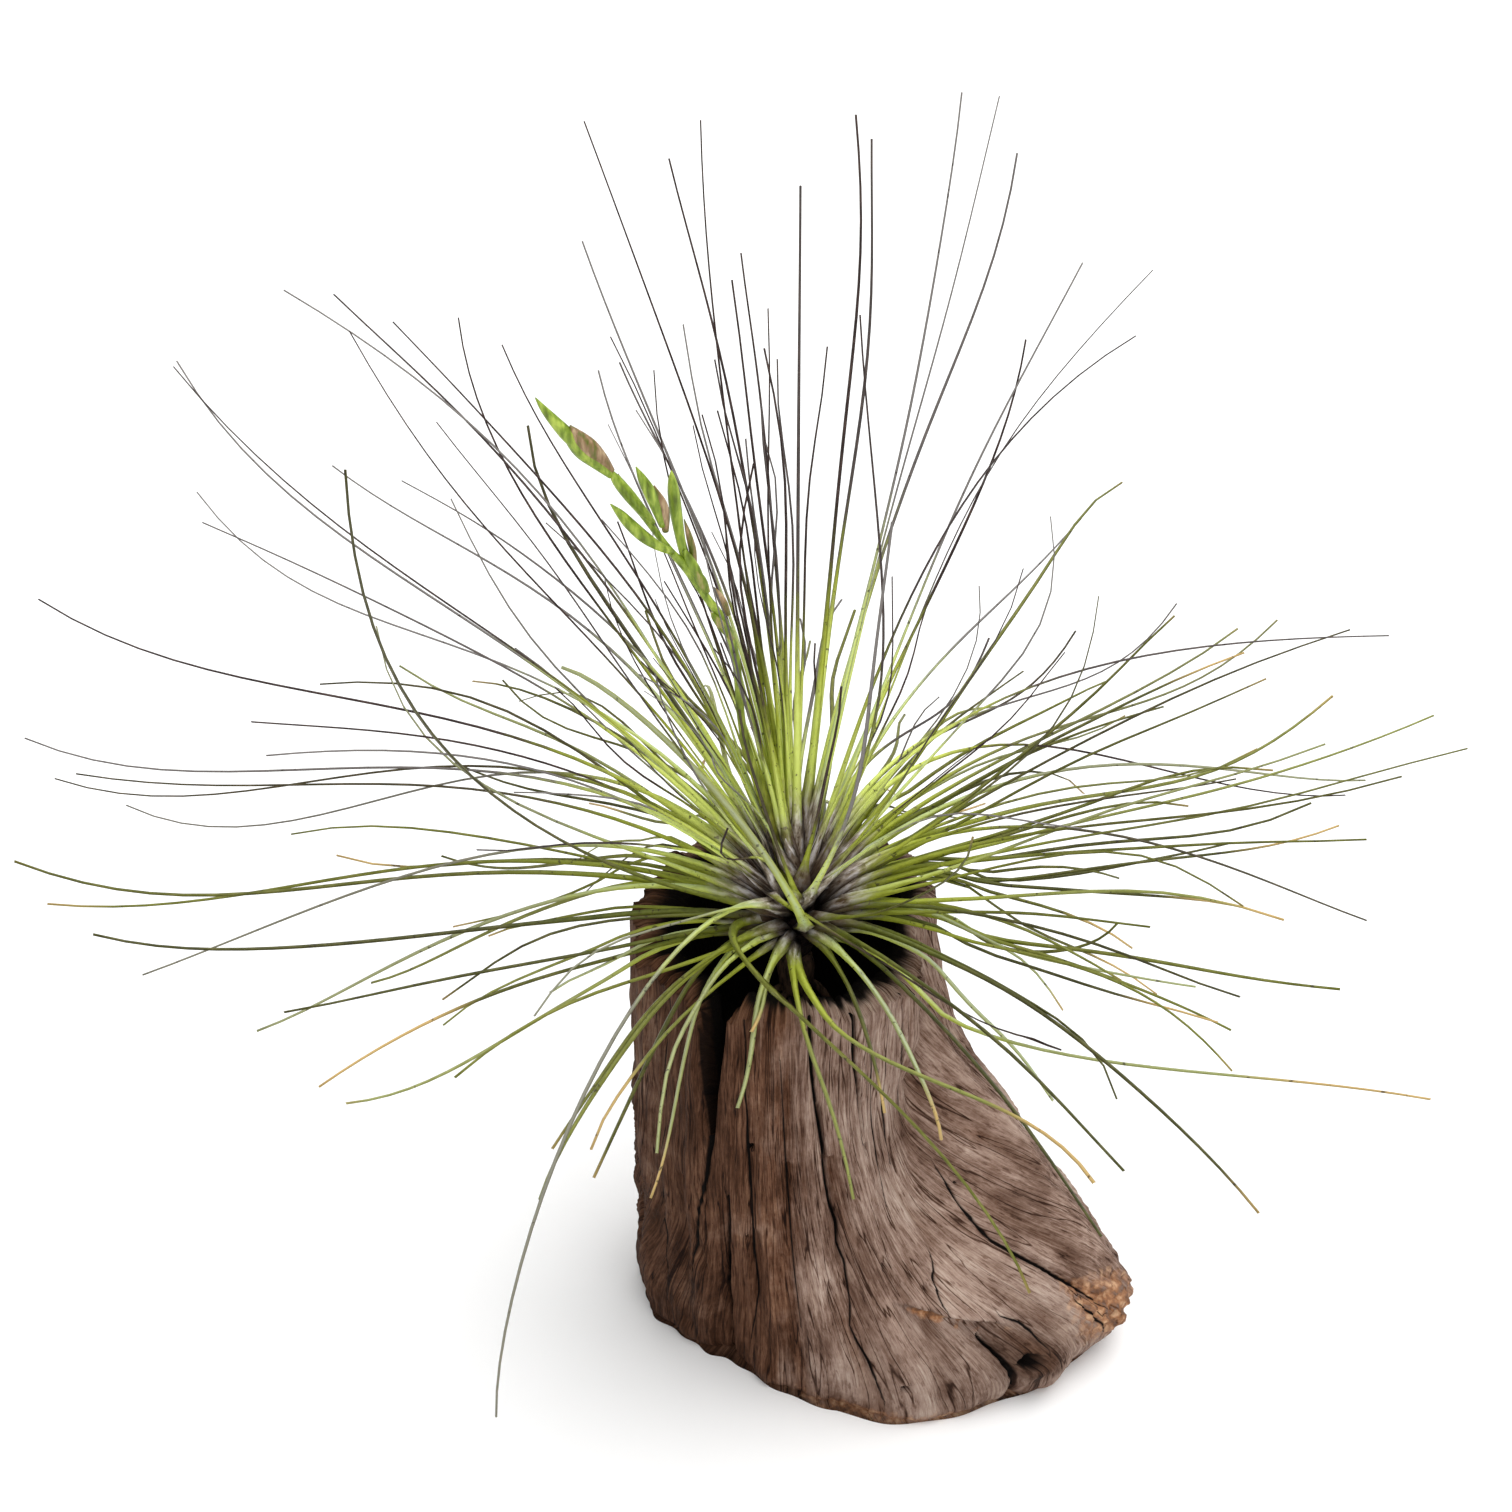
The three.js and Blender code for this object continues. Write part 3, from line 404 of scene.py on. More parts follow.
def sculpt_stump(mesh):
    """Moves the plain cup's walls to the bark, the hollow and the broken rim, cuts the cracks,
    the slot and the knot hole into it, and keeps what the material needs to know."""
    place = np.empty(len(mesh.vertices) * 3)
    mesh.vertices.foreach_get("co", place)
    place = place.reshape(-1, 3)
    nominal = np.hypot(place[:, 0], place[:, 1])
    turn = np.degrees(np.arctan2(place[:, 1], place[:, 0]))
    azimuth = turn - COLUMN_SHIFT * np.sin(np.radians(turn - COLUMN_MIDDLE))
    azimuth = np.where(nominal < TINY, 0, azimuth)
    wall = smoothstep(nominal, HOLLOW_RADIUS, TRUNK_RADIUS)
    is_floor = place[:, 2] < TINY
    is_bark = (nominal > TRUNK_RADIUS - TINY) & ~is_floor
    is_rim = (place[:, 2] > STUMP_HEIGHT - TINY) & ~is_bark

    # The rim: higher at the back, broken off fibre by fibre, and open at the slot.
    round_trunk = np.stack([np.cos(np.radians(azimuth)), np.sin(np.radians(azimuth))], axis=1)
    chips = fractal(np.column_stack([round_trunk * 6, nominal * 0.03]), 3)
    splinters = fractal(np.column_stack([round_trunk * 24, nominal * 0.12]), 2)
    drop = RIM_LOW_SIDE["drop"] * bell(turned_from(RIM_LOW_SIDE["azimuth"], azimuth), RIM_LOW_SIDE["half"])
    rounded_edge = 1.1 * (2 * wall - 1) ** 6
    rim = rim_height(azimuth) - 0.4 - drop + 1.1 * chips + 0.9 * splinters - rounded_edge
    across = TRUNK_RADIUS * np.sin(np.radians(azimuth - SLOT["azimuth"]))
    across *= np.where(is_bark, 1, nominal / TRUNK_RADIUS)
    on_slot_side = np.cos(np.radians(azimuth - SLOT["azimuth"])) > 0
    opening = (np.abs(across) - SLOT["bottom_half"]) / (SLOT["top_half"] - SLOT["bottom_half"])
    slot_rim = SLOT["bottom"] + np.maximum(0, opening) * (STUMP_HEIGHT - SLOT["bottom"])
    rim = np.where(on_slot_side & (nominal > HOLLOW_FLOOR_RADIUS), np.minimum(rim, slot_rim), rim)

    floor = np.where(is_bark | is_floor, 0, HOLLOW_FLOOR)
    height = lerp(floor, rim, (place[:, 2] - floor) / (STUMP_HEIGHT - floor))
    height = np.where(is_floor, 0, height)
    bark = bark_radius(azimuth, height)
    on_bark = np.column_stack([round_trunk * bark[:, None], height])

    # Grain: it runs down the trunk and bends outwards where the flare spreads.
    spread = 1 - smoothstep(height / flare_at(azimuth)[1], 0, 1)
    grain_turn = np.radians(azimuth - GRAIN_TURN * spread * np.sin(np.radians(azimuth - GRAIN_MIDDLE)))
    run = height - 0.8 * (bark - TRUNK_RADIUS)
    grain = np.column_stack([TRUNK_RADIUS * np.cos(grain_turn), TRUNK_RADIUS * np.sin(grain_turn), run])

    # Ribs, ridges and fine lines follow the grain; lumps do not.
    ribs = fractal(grain * (0.15, 0.15, 0.016), 3)
    ridges = np.abs(fractal(grain * (0.55, 0.55, 0.03), 3))
    fine = fractal(grain * (1.2, 1.2, 0.08), 2)
    lumps = fractal(on_bark * 0.06, 3)
    rounded_foot = 1.4 * np.maximum(0, 1 - height / 2.5) ** 2
    relief = 0.3 - rounded_foot - 0.9 * ridges + 0.3 * fine + 0.9 * lumps + lerp(0.6, 2.6, spread) * ribs

    away, breadth, furrow_depth = nearest_line(FURROWS, azimuth, height, bark)
    furrow = bell(away, np.maximum(breadth, 0.5))
    relief -= furrow_depth * furrow

    valley_middle = VALLEY["azimuth"] + VALLEY["lean"] * (height - VALLEY["height"])
    valley = bell(turned_from(valley_middle, azimuth), VALLEY["half"])
    lower_end, upper_end = VALLEY_ENDS
    valley *= smoothstep(height, *lower_end) * (1 - 0.3 * smoothstep(height, *upper_end))
    relief -= VALLEY["depth"] * valley
    waist = bell(turned_from(WAIST["azimuth"], azimuth), WAIST["half"])
    relief -= WAIST["depth"] * waist * bell(height - WAIST["height"], WAIST["half_height"])

    # Under the ledge the wood is crumbled, as it is on the broken end.
    around = azimuth % 360
    left_end, right_end = LEDGE_ENDS
    on_toes = smoothstep(around, *left_end) * (1 - smoothstep(around, *right_end))
    under = LEDGE["height"] - LEDGE["fall"] * (around - LEDGE["azimuth"]) - height
    below = smoothstep(under, -0.5, 0.7) * (1 - smoothstep(under, 3, 9))
    relief += on_toes * (LEDGE["swell"] * bell(under + 1, 1.6) - LEDGE["undercut"] * below)
    off_end = turned_from(BROKEN_END["azimuth"], azimuth)
    above_end = height - (BROKEN_END["height"] - BROKEN_END["fall"] * off_end)
    broken = bell(off_end, BROKEN_END["half"], 4) * bell(above_end, BROKEN_END["half_height"], 4)
    crumbs = fractal(on_bark * 0.45, 4)
    relief += (BROKEN_END["crumbs"] * broken + 0.6 * on_toes * below) * crumbs

    # The knot hole has a raised ring round it.
    off_knot = turned_from(KNOT["azimuth"], azimuth) * np.pi / 180 * bark
    knot_way = np.hypot(off_knot, height - KNOT["height"])
    knot = 1 - smoothstep(knot_way, 0.4 * KNOT["radius"], KNOT["radius"])
    relief += 0.6 * bell(knot_way - 1.6 * KNOT["radius"], 1.2) - KNOT["depth"] * knot

    offset, half, depth = nearest_line(CRACKS, azimuth, height, bark)
    sunk = np.clip(1.1 - np.abs(offset) / (half + 0.35), 0, 1) * np.minimum(1, half / 0.3)
    sunk += 0.12 * bell(offset, 1.3) * np.minimum(1, half / 0.2)

    part = (STUMP_HEIGHT - place[:, 2]) / (STUMP_HEIGHT - HOLLOW_FLOOR)
    hollow = lerp(HOLLOW_RADIUS, HOLLOW_FLOOR_RADIUS, np.clip(part, 0, 1) ** 1.6)
    is_hollow_floor = ~is_bark & ~is_floor & ~is_rim & (nominal < HOLLOW_FLOOR_RADIUS - TINY)
    worn_in = waves(HOLLOW_WAVES, azimuth) - 0.8 * ridges
    inner = np.where(is_hollow_floor, nominal, hollow + worn_in)
    outer = bark + relief - depth * sunk
    rim_share = (nominal - HOLLOW_RADIUS) / (TRUNK_RADIUS - HOLLOW_RADIUS)
    rim_reach = lerp(HOLLOW_RADIUS + worn_in, outer, rim_share)
    reach = np.where(is_bark, outer, np.where(is_rim, rim_reach, inner))
    underside = nominal / TRUNK_RADIUS * (bark_radius(azimuth, 0 * azimuth) - 0.5)
    reach = np.where(is_floor, underside, reach)
    reach = np.where(nominal < TINY, 0, reach)
    moved = np.column_stack([round_trunk * reach[:, None], height])
    mesh.vertices.foreach_set("co", (moved * MM).ravel())

    # Paler with bleaching on the root, and as painted light on the lit right side and on raised relief;
    # darker as painted shade in the lee, in grooves and in furrows; raw on the broken end, the ledge and the
    # hem.
    hem = (1 - smoothstep(height, 0.5, 4)) * facing(azimuth, 310, 0.6)
    painted_relief_light = 0.6 * (0.22 * fine - 0.7 * (ridges - 0.3)) + 0.3 * ribs - 0.35 * furrow
    dirty = bell(knot_way, KNOT["dirty_radius"])
    bleach_and_painted_light = 0.22 + 0.85 * facing(azimuth, 335, 0.1) * lerp(0.72, 1, spread)
    bleach_and_painted_light += painted_relief_light - 0.45 * facing(azimuth, 205, 0.2) - 0.4 * hem - 0.9 * dirty
    fringe = on_toes * below * (1 - smoothstep(under, 1, 3.6)) * np.clip(0.7 + 1.6 * crumbs, 0, 1)
    raw = 0.75 * broken + 0.8 * fringe + 0.55 * hem * (1 - dirty)

    # Painted shade: dark in the hollow, in the slot, in the knot hole, under the ledge's lip, on the
    # shaded side and on the underside. The rim darkens towards the hollow, a stain lies round the knot
    # hole, and the bark is darker towards the floor.
    towards_hollow = 1 - smoothstep(nominal + 0.9 * splinters, HOLLOW_RADIUS + 2.5, TRUNK_RADIUS - 1.5)
    painted_shade_and_stain = np.where(is_bark, 0, np.where(is_rim, towards_hollow, 1))
    in_slot = on_slot_side & (slot_rim < STUMP_HEIGHT - 6) & is_rim
    shaded = 0.36 * facing(azimuth, 195, 0.3)
    pit = 1 - smoothstep(knot_way, 0.75 * KNOT["radius"], 1.1 * KNOT["radius"])
    under_lip = 0.6 * on_toes * bell(under - 0.4, 0.5)
    darker_low = 0.2 * (1 - smoothstep(height, 4, 26))
    bark_shade_and_stain = np.maximum.reduce([pit, 0.5 * dirty, shaded, under_lip, darker_low]) * is_bark
    painted_shade_and_stain = np.where(is_floor, 0.3, np.maximum.reduce([painted_shade_and_stain, bark_shade_and_stain, 0.9 * in_slot]))
    # Only narrow cracks are drawn dark, as painted shade: wide ones are dark by their own shade.
    narrow = is_bark & (np.abs(offset) < 2.2) & (half < 1)
    drawn_half = np.where(narrow, half, -1)
    set_attribute(mesh, "grain", grain)
    set_attribute(mesh, "wear_and_painted_light", np.column_stack([np.clip(bleach_and_painted_light, 0, 1), np.clip(raw, 0, 1), painted_shade_and_stain]))
    set_attribute(mesh, "crack", np.column_stack([offset, drawn_half, smoothstep(bark, 30, 48)]))


stump_mesh = turned_cup(STUMP_SIDES, STUMP_RINGS)
sculpt_stump(stump_mesh)
stump_mesh.shade_smooth()
show("driftwood", stump_mesh, weathered_driftwood(), "driftwood_stump")


# Leaves: each is one long leaf with a broad, scurfy grey-brown sheath that clasps the short
# stem, a channelled green blade, and a thread-thin end. Old leaves lie low and dry at the tip.
STEM_X = 1.5
CROWN_HEIGHT = 80
CROWN_REACH = 3.4
CROWN_RISE = 8
# The segments of a leaf are shorter towards its root by this power.
SEGMENT_CROWDING = 1.15
# Gaps that leaves keep from the wood and from the spike.
RIM_CLEARANCE = 2.6
RIM_EASE = 2.6
LEAF_TO_SPIKE = 1.0
# Half width of the sheath on old low leaves, on grown ones and on the upright ones inside. It
# keeps its breadth for the first length and narrows over the second.
SHEATH_HALVES = (0.95, 1.75, 1.35)
SHEATH_BROAD = 3
SHEATH_NARROWING = 8
# A leaf is this much longer than the straight way from its root to its tip.
LEAF_OVER_SPAN = 1.06
LONG_LEAF_STEPS = 24
SHORT_LEAF_STEPS = 13

# Tip x, y, z, then the launch and finish angles above level, and for a few a swing, which turns
# the launch aside from the tip's azimuth.
SINGLE_LEAVES = [
    (-31, 20, 210, 85, 66), (-33, 45, 181, 78, 58), (-18, 40, 197, 82, 60), (-13, 10, 214, 81, 88),
    (-7, 50, 177, 80, 62), (1, -8, 211, 85, 88), (10, 25, 209, 74, 95), (14, 45, 198, 70, 96),
    (25, 25, 213, 76, 88), (30, 5, 219, 80, 77), (36, 50, 194, 76, 70), (9, -35, 203, 66, 100, 42),
    (44, 20, 188, 69, 60), (50, -15, 202, 70, 50), (46, -35, 199, 74, 40), (52, 60, 123, 56, 18),
    (12, -60, 185, 46, 86), (38, 40, 166, 62, 80), (-48, 60, 156, 60, 50), (-53, 40, 170, 56, 86),
    (-68, 70, 156, 62, 26), (-70, 25, 181, 66, 44), (-74, 0, 192, 66, 32), (-97, 30, 167, 52, 62),
    (-89, -10, 184, 58, 60), (-103, 60, 128, 52, 42), (-94, 20, 143, 52, 24), (-84, 95, 116, 48, 8),
    (-58, -60, 193, 34, 92), (-70, 85, 118, 52, 2), (-47, -40, 190, 60, 62), (-62, -25, 196, 64, 66),
    (-32, 70, 147, 60, 62), (-28, 60, 153, 76, 30), (-119, 10, 135, 50, 36), (-75, -55, 152, 52, 24),
    (-74, -50, 143, 50, 14), (-126, 15, 106, 46, 22), (-129, 40, 82, 44, 8), (-109, -20, 121, 44, 14),
    (-122, 60, 63, 44, 10), (-121, -20, 104, 28, 28), (-125, 10, 76, 24, 4), (-107, -30, 99, 18, 30),
    (-103, -20, 83, 42, -16), (-86, -20, 73, 32, -14), (-72, -45, 80, 12, -22), (-69, -40, 73, 14, 12),
    (-70, 0, 68, 30, -12), (-62, 40, 66, 34, 4, 30), (-37, -60, 70, 24, -56), (-35, -62, 82, 24, -30),
    (-30, -50, 66, 20, -36, -12), (-22, -45, 57, 20, -44, -16), (-8, -40, 71, 16, -50),
    (-6, -32, 79, 10, -10), (-43, -88, 53, 42, -88, -8), (15, -42, 72, 18, -58), (22, -52, 75, 20, -82),
    (35, -80, 70, 26, -36, -75), (43, -75, 86, 4, -8, -34), (68, -70, 76, 22, -30), (43, -30, 66, 4, -30),
    (70, -35, 76, 14, -38), (71, -22, 73, 12, -22), (94, -60, 90, 0, 12, -22), (87, -25, 84, 8, 0),
    (66, -15, 77, 8, 4), (52, -12, 88, 6, 66), (96, 0, 80, 44, -22), (91, 8, 94, 14, 18),
    (109, 25, 104, 22, 24), (98, 50, 92, 26, 34), (105, 50, 76, 36, -12), (103, 58, 66, 60, -12),
    (90, 70, 97, 36, 26), (96, 10, 128, 68, -3), (72, 75, 98, 54, 36), (54, 75, 92, 44, 30),
    (38, 72, 92, 48, 34),
]
# Two leaves that cross over the crown.
CROWN_LEAVES = [(-35, -13.5, 136, 24, 26, 80), (42, -38, 82.3, 47, 25, -87)]
# Leaves placed by rule. Each three numbers are the value for the outermost leaf, that for the
# innermost and the most that a draw moves it. The turn is where the group's middle lies, how far
# it spreads to each side and the same for its draw.
BUNDLE_LEAVES = {
    "count": 38, "seed": 94, "turn": (165, 80, 8), "crowding": 1.1, "swing": 14,
    "launch": (68, 86, 4), "length": (66, 100, 22), "droop": (6, 2, 5), "finish": (48, 80, 14),
}
HEART_LEAVES = {
    "count": 15, "seed": 37, "turn": (268, 130, 8), "crowding": 1.0, "swing": 14,
    "launch": (30, 78, 5), "length": (76, 92, 20), "droop": (-14, 0, 6), "finish": (76, 88, 14),
}
BACK_LEAVES = {
    "count": 26, "seed": 1454, "turn": (100, 150, 8), "crowding": 1.0, "swing": 20,
    "launch": (26, 66, 6), "length": (80, 56, 14), "droop": (24, 8, 7), "finish": (-26, 60, 20),
}
RIGHT_LEAVES = {
    "count": 16, "seed": 245, "turn": (14, 34, 6), "crowding": 1.0, "swing": 18,
    "launch": (10, 40, 6), "length": (84, 96, 16), "droop": (8, 10, 6), "finish": (-8, 16, 20),
}
LOW_LEAVES = {
    "count": 46, "seed": 791, "turn": (270, 180, 6), "crowding": 0.65, "swing": 18,
    "launch": (4, 30, 7), "length": (52, 80, 16), "droop": (20, 14, 8), "finish": (-44, -4, 24),
}
GOLDEN_FRACTION = 0.618034

# The flower spike, which the leaves are bent clear of: points along its stalk with the radius
# at each, and the paths of its spikelets.
STALK = [
    (1, -2, 84.5, 1.2), (-1, -3, 93, 1.2), (-3, -4, 104, 1), (-7, -5, 118, 0.9), (-8.3, -6, 133, 0.9),
    (-10, -7, 140, 0.95), (-13, -7, 145, 0.85), (-15.5, -7, 149.5, 1.15), (-18, -8, 153, 0.75),
    (-22, -8, 159, 0.7), (-26, -9, 165.5, 0.8), (-28, -9, 168.5, 1.1), (-30.5, -10, 171.5, 1.4),
    (-32.8, -10, 174, 1.1), (-35.4, -10.6, 177.4, 0.7), (-37, -11, 179.5, 0.35),
]
SPIKELETS = [
    [(-19, -8, 154.5), (-20, -7, 158.5), (-21, -6, 162), (-23, -5, 165.5)],
    [(-15.6, -7.6, 150), (-16.3, -10, 157), (-17.3, -11, 162.5), (-17.5, -12, 168)],
    [(-18, -8, 153), (-20.5, -10, 155.5), (-23.5, -11, 158.5), (-26.5, -12, 163)],
    [(-12, -7, 143), (-11.4, -6.4, 144.5), (-11, -5.8, 146), (-11.2, -5.6, 147.6)],
]


def direction(azimuth, elevation):
    """Unit direction from an azimuth and an angle above level, in degrees."""
    turn, rise = math.radians(azimuth), math.radians(elevation)
    return np.array([math.cos(rise) * math.cos(turn), math.cos(rise) * math.sin(turn), math.sin(rise)])


def unit(rows):
    """Each row of an array at unit length."""
    return rows / np.linalg.norm(rows, axis=1)[:, None]


def smooth_path(points, steps):
    """Points along a smooth curve through the given ones."""
    rows = np.array(points, float)
    first, last = 2 * rows[0] - rows[1], 2 * rows[-1] - rows[-2]
    rows = np.vstack([first, rows, last])
    found = []
    for place in np.linspace(0, len(points) - 1, steps + 1):
        i = min(int(place), len(points) - 2)
        found.append(through(*rows[i : i + 4], place - i))
    return np.array(found)


def seeded_draws(seed):
    """Seeded draws between -1 and 1."""
    state = seed
    while True:
        state = state * 16807 % 2147483647
        yield 2 * state / 2147483647 - 1


def leaves_by_rule(rule):
    """Leaves placed round the stem by the golden fraction, in the terms of SINGLE_LEAVES."""
    draws = seeded_draws(rule["seed"])
    leaves = []
    for i in range(rule["count"]):
        level = (i + 0.5) / rule["count"]
        turn = 2 * (i * GOLDEN_FRACTION % 1) - 1
        middle, reach, scatter = rule["turn"]
        azimuth = middle + reach * math.copysign(abs(turn) ** rule["crowding"], turn) + scatter * next(draws)
        launch, length, droop, finish = (
            lerp(outermost, innermost, share) + scatter * next(draws)
            for (outermost, innermost, scatter), share in (
                (rule["launch"], level), (rule["length"], level), (rule["droop"], level),
                (rule["finish"], smoothstep(level, 0, 0.9)),
            )
        )
        tip = direction(azimuth, launch - droop) * length + (STEM_X, 0, CROWN_HEIGHT)
        leaves.append((*tip, launch, finish, rule["swing"] * next(draws)))
    return leaves


def leaf_frame(leaf, along):
    """The middle line of a leaf at each share of its length, its level side direction and the
    distance from its root to its tip."""
    x, y, z, launch, finish = leaf[:5]
    swing = leaf[5] if len(leaf) > 5 else 0
    tip = np.array((x, y, z), float)
    azimuth = math.degrees(math.atan2(y, x - STEM_X))
    out = direction(azimuth + swing, lerp(-25, 78, launch / 88))
    root = (STEM_X, 0, CROWN_HEIGHT) + (CROWN_REACH, CROWN_REACH, CROWN_RISE) * out
    span = np.linalg.norm(tip - root)
    first = root + 0.45 * span * direction(azimuth + swing, launch)
    second = tip - 0.33 * span * direction(azimuth, finish)
    t = along[:, None]
    line = (1 - t) ** 3 * root + 3 * (1 - t) ** 2 * t * first + 3 * (1 - t) * t**2 * second + t**3 * tip
    return line, direction(azimuth + swing + 90, 0), span


def clear_of_wood_and_spike(line, along, girth):
    """Lifts a leaf's middle line over the rim and bends it aside from the flower spike."""
    line = line.copy()
    reach = np.hypot(line[:, 0], line[:, 1])
    beyond, short = reach - TRUNK_RADIUS - 3, HOLLOW_RADIUS - 3 - reach
    outside, inside = (beyond + np.hypot(beyond, 3)) / 2, (short + np.hypot(short, 3)) / 2
    rim = rim_height(np.degrees(np.arctan2(line[:, 1], line[:, 0])))
    lowest = rim + RIM_CLEARANCE - 1.2 * outside - 0.7 * inside
    spare = line[:, 2] - lowest
    lifted = lowest + (spare + np.hypot(spare, 2 * RIM_EASE)) / 2
    line[:, 2] = np.where(along > 0, lifted, line[:, 2])
    for post in spike_points:
        away = line - post
        gap = np.linalg.norm(away, axis=1)
        shortfall = np.clip(LEAF_TO_SPIKE + girth - gap, 0, None) * smoothstep(along, 0, 0.12)
        line += away / np.maximum(gap, 1e-6)[:, None] * shortfall[:, None]
    return line


def plain_rod(sides, steps):
    """A straight closed rod, one in radius and one long, up from the origin."""
    rod = bmesh.new()
    bmesh.ops.create_cone(rod, cap_ends=True, segments=sides, radius1=1, radius2=1, depth=1)
    lengthwise = [edge for edge in rod.edges if abs(edge.verts[0].co.z - edge.verts[1].co.z) > 0.5]
    bmesh.ops.subdivide_edges(rod, edges=lengthwise, cuts=steps - 1, use_grid_fill=True)
    bmesh.ops.translate(rod, verts=rod.verts, vec=(0, 0, 0.5))
    return as_mesh("plain_rod", rod)


def bent_leaves(name, leaves, seed, steps, breadth, waver):
    """Bends a copy of the plain rod along each leaf's line and joins them in one mesh."""
    # Four corners: two margins, the channel and the keel.
    template = plain_rod(4, steps)
    corners = np.array([vertex.co[:] for vertex in template.vertices])
    along = corners[:, 2] ** SEGMENT_CROWDING
    across = corners[:, 0]
    upper, keel = corners[:, 1] > 0.5, corners[:, 1] < -0.5
    draws = seeded_draws(seed)
    joined = bmesh.new()
    for leaf in leaves:
        launch = leaf[3]
        line, side, span = leaf_frame(leaf, along)
        tangent = unit(leaf_frame(leaf, along + 0.01)[0] - leaf_frame(leaf, along - 0.01)[0])
        tone, stout, sway, dry = (0.5 + 0.5 * next(draws) for unused in range(4))
        # Half width: the sheath's at the root, 0.7 to 1 mm in the blade, and a thread's at the tip.
        root_way = along * span * LEAF_OVER_SPAN
        low, grown, inmost = SHEATH_HALVES
        clasp = lerp(low, lerp(grown, inmost, smoothstep(launch, 60, 84)), smoothstep(launch, 8, 34))
        narrowing = bell(np.maximum(0, root_way - SHEATH_BROAD), SHEATH_NARROWING)
        sheath = clasp * lerp(0.85, 1.1, sway) * narrowing
        upright = float(smoothstep(launch, 20, 60))
        taper = 1 - lerp(0.48, 0.68, upright) * smoothstep(along, -0.08, 0.45)
        taper *= 1 - 0.35 * smoothstep(along, 0.5, 1)
        width = np.hypot(sheath, breadth * lerp(0.72, 0.98, stout) * taper * smoothstep(root_way, -6, 4))
        # The section: the sheath is rolled nearly round; the blade has a shallow channel along
        # its upper side, thin margins and a keel.
        roll = 1 - smoothstep(root_way, 5, 15)
        face = np.where(upper, lerp(-0.05, 0.55, roll), np.where(keel, -0.62, lerp(0.3, 0.05, roll)))
        line = clear_of_wood_and_spike(line, along, width)
        upward = unit(np.cross(side, tangent))
        sideways = np.cross(tangent, upward)
        wave = waver * (sway - 0.5) * along**2 * np.sin(8 * along + 6 * tone)
        lift = waver * (stout - 0.5) * along**2 * np.sin(7 * along + 6 * dry)
        moved = line + sideways * (width * across + wave)[:, None] + upward * (width * face + lift)[:, None]
        template.vertices.foreach_set("co", (moved * MM).ravel())
        # What the material needs: where on the leaf, then how far it darkens, its own tone and
        # how dry its end is.
        dusk = float(smoothstep(launch, 22, 62)) * lerp(0.75, 1, tone)
        old = 1 - float(smoothstep(launch, 10, 40))
        habit = (dusk, tone, old * max(0, 2 * dry - 1))
        set_attribute(template, "leaf", np.column_stack([along, root_way, across]))
        set_attribute(template, "habit", np.tile(habit, (len(along), 1)))
        joined.from_mesh(template)
    bpy.data.meshes.remove(template)
    mesh = as_mesh(name, joined)
    mesh.shade_smooth()
    return mesh


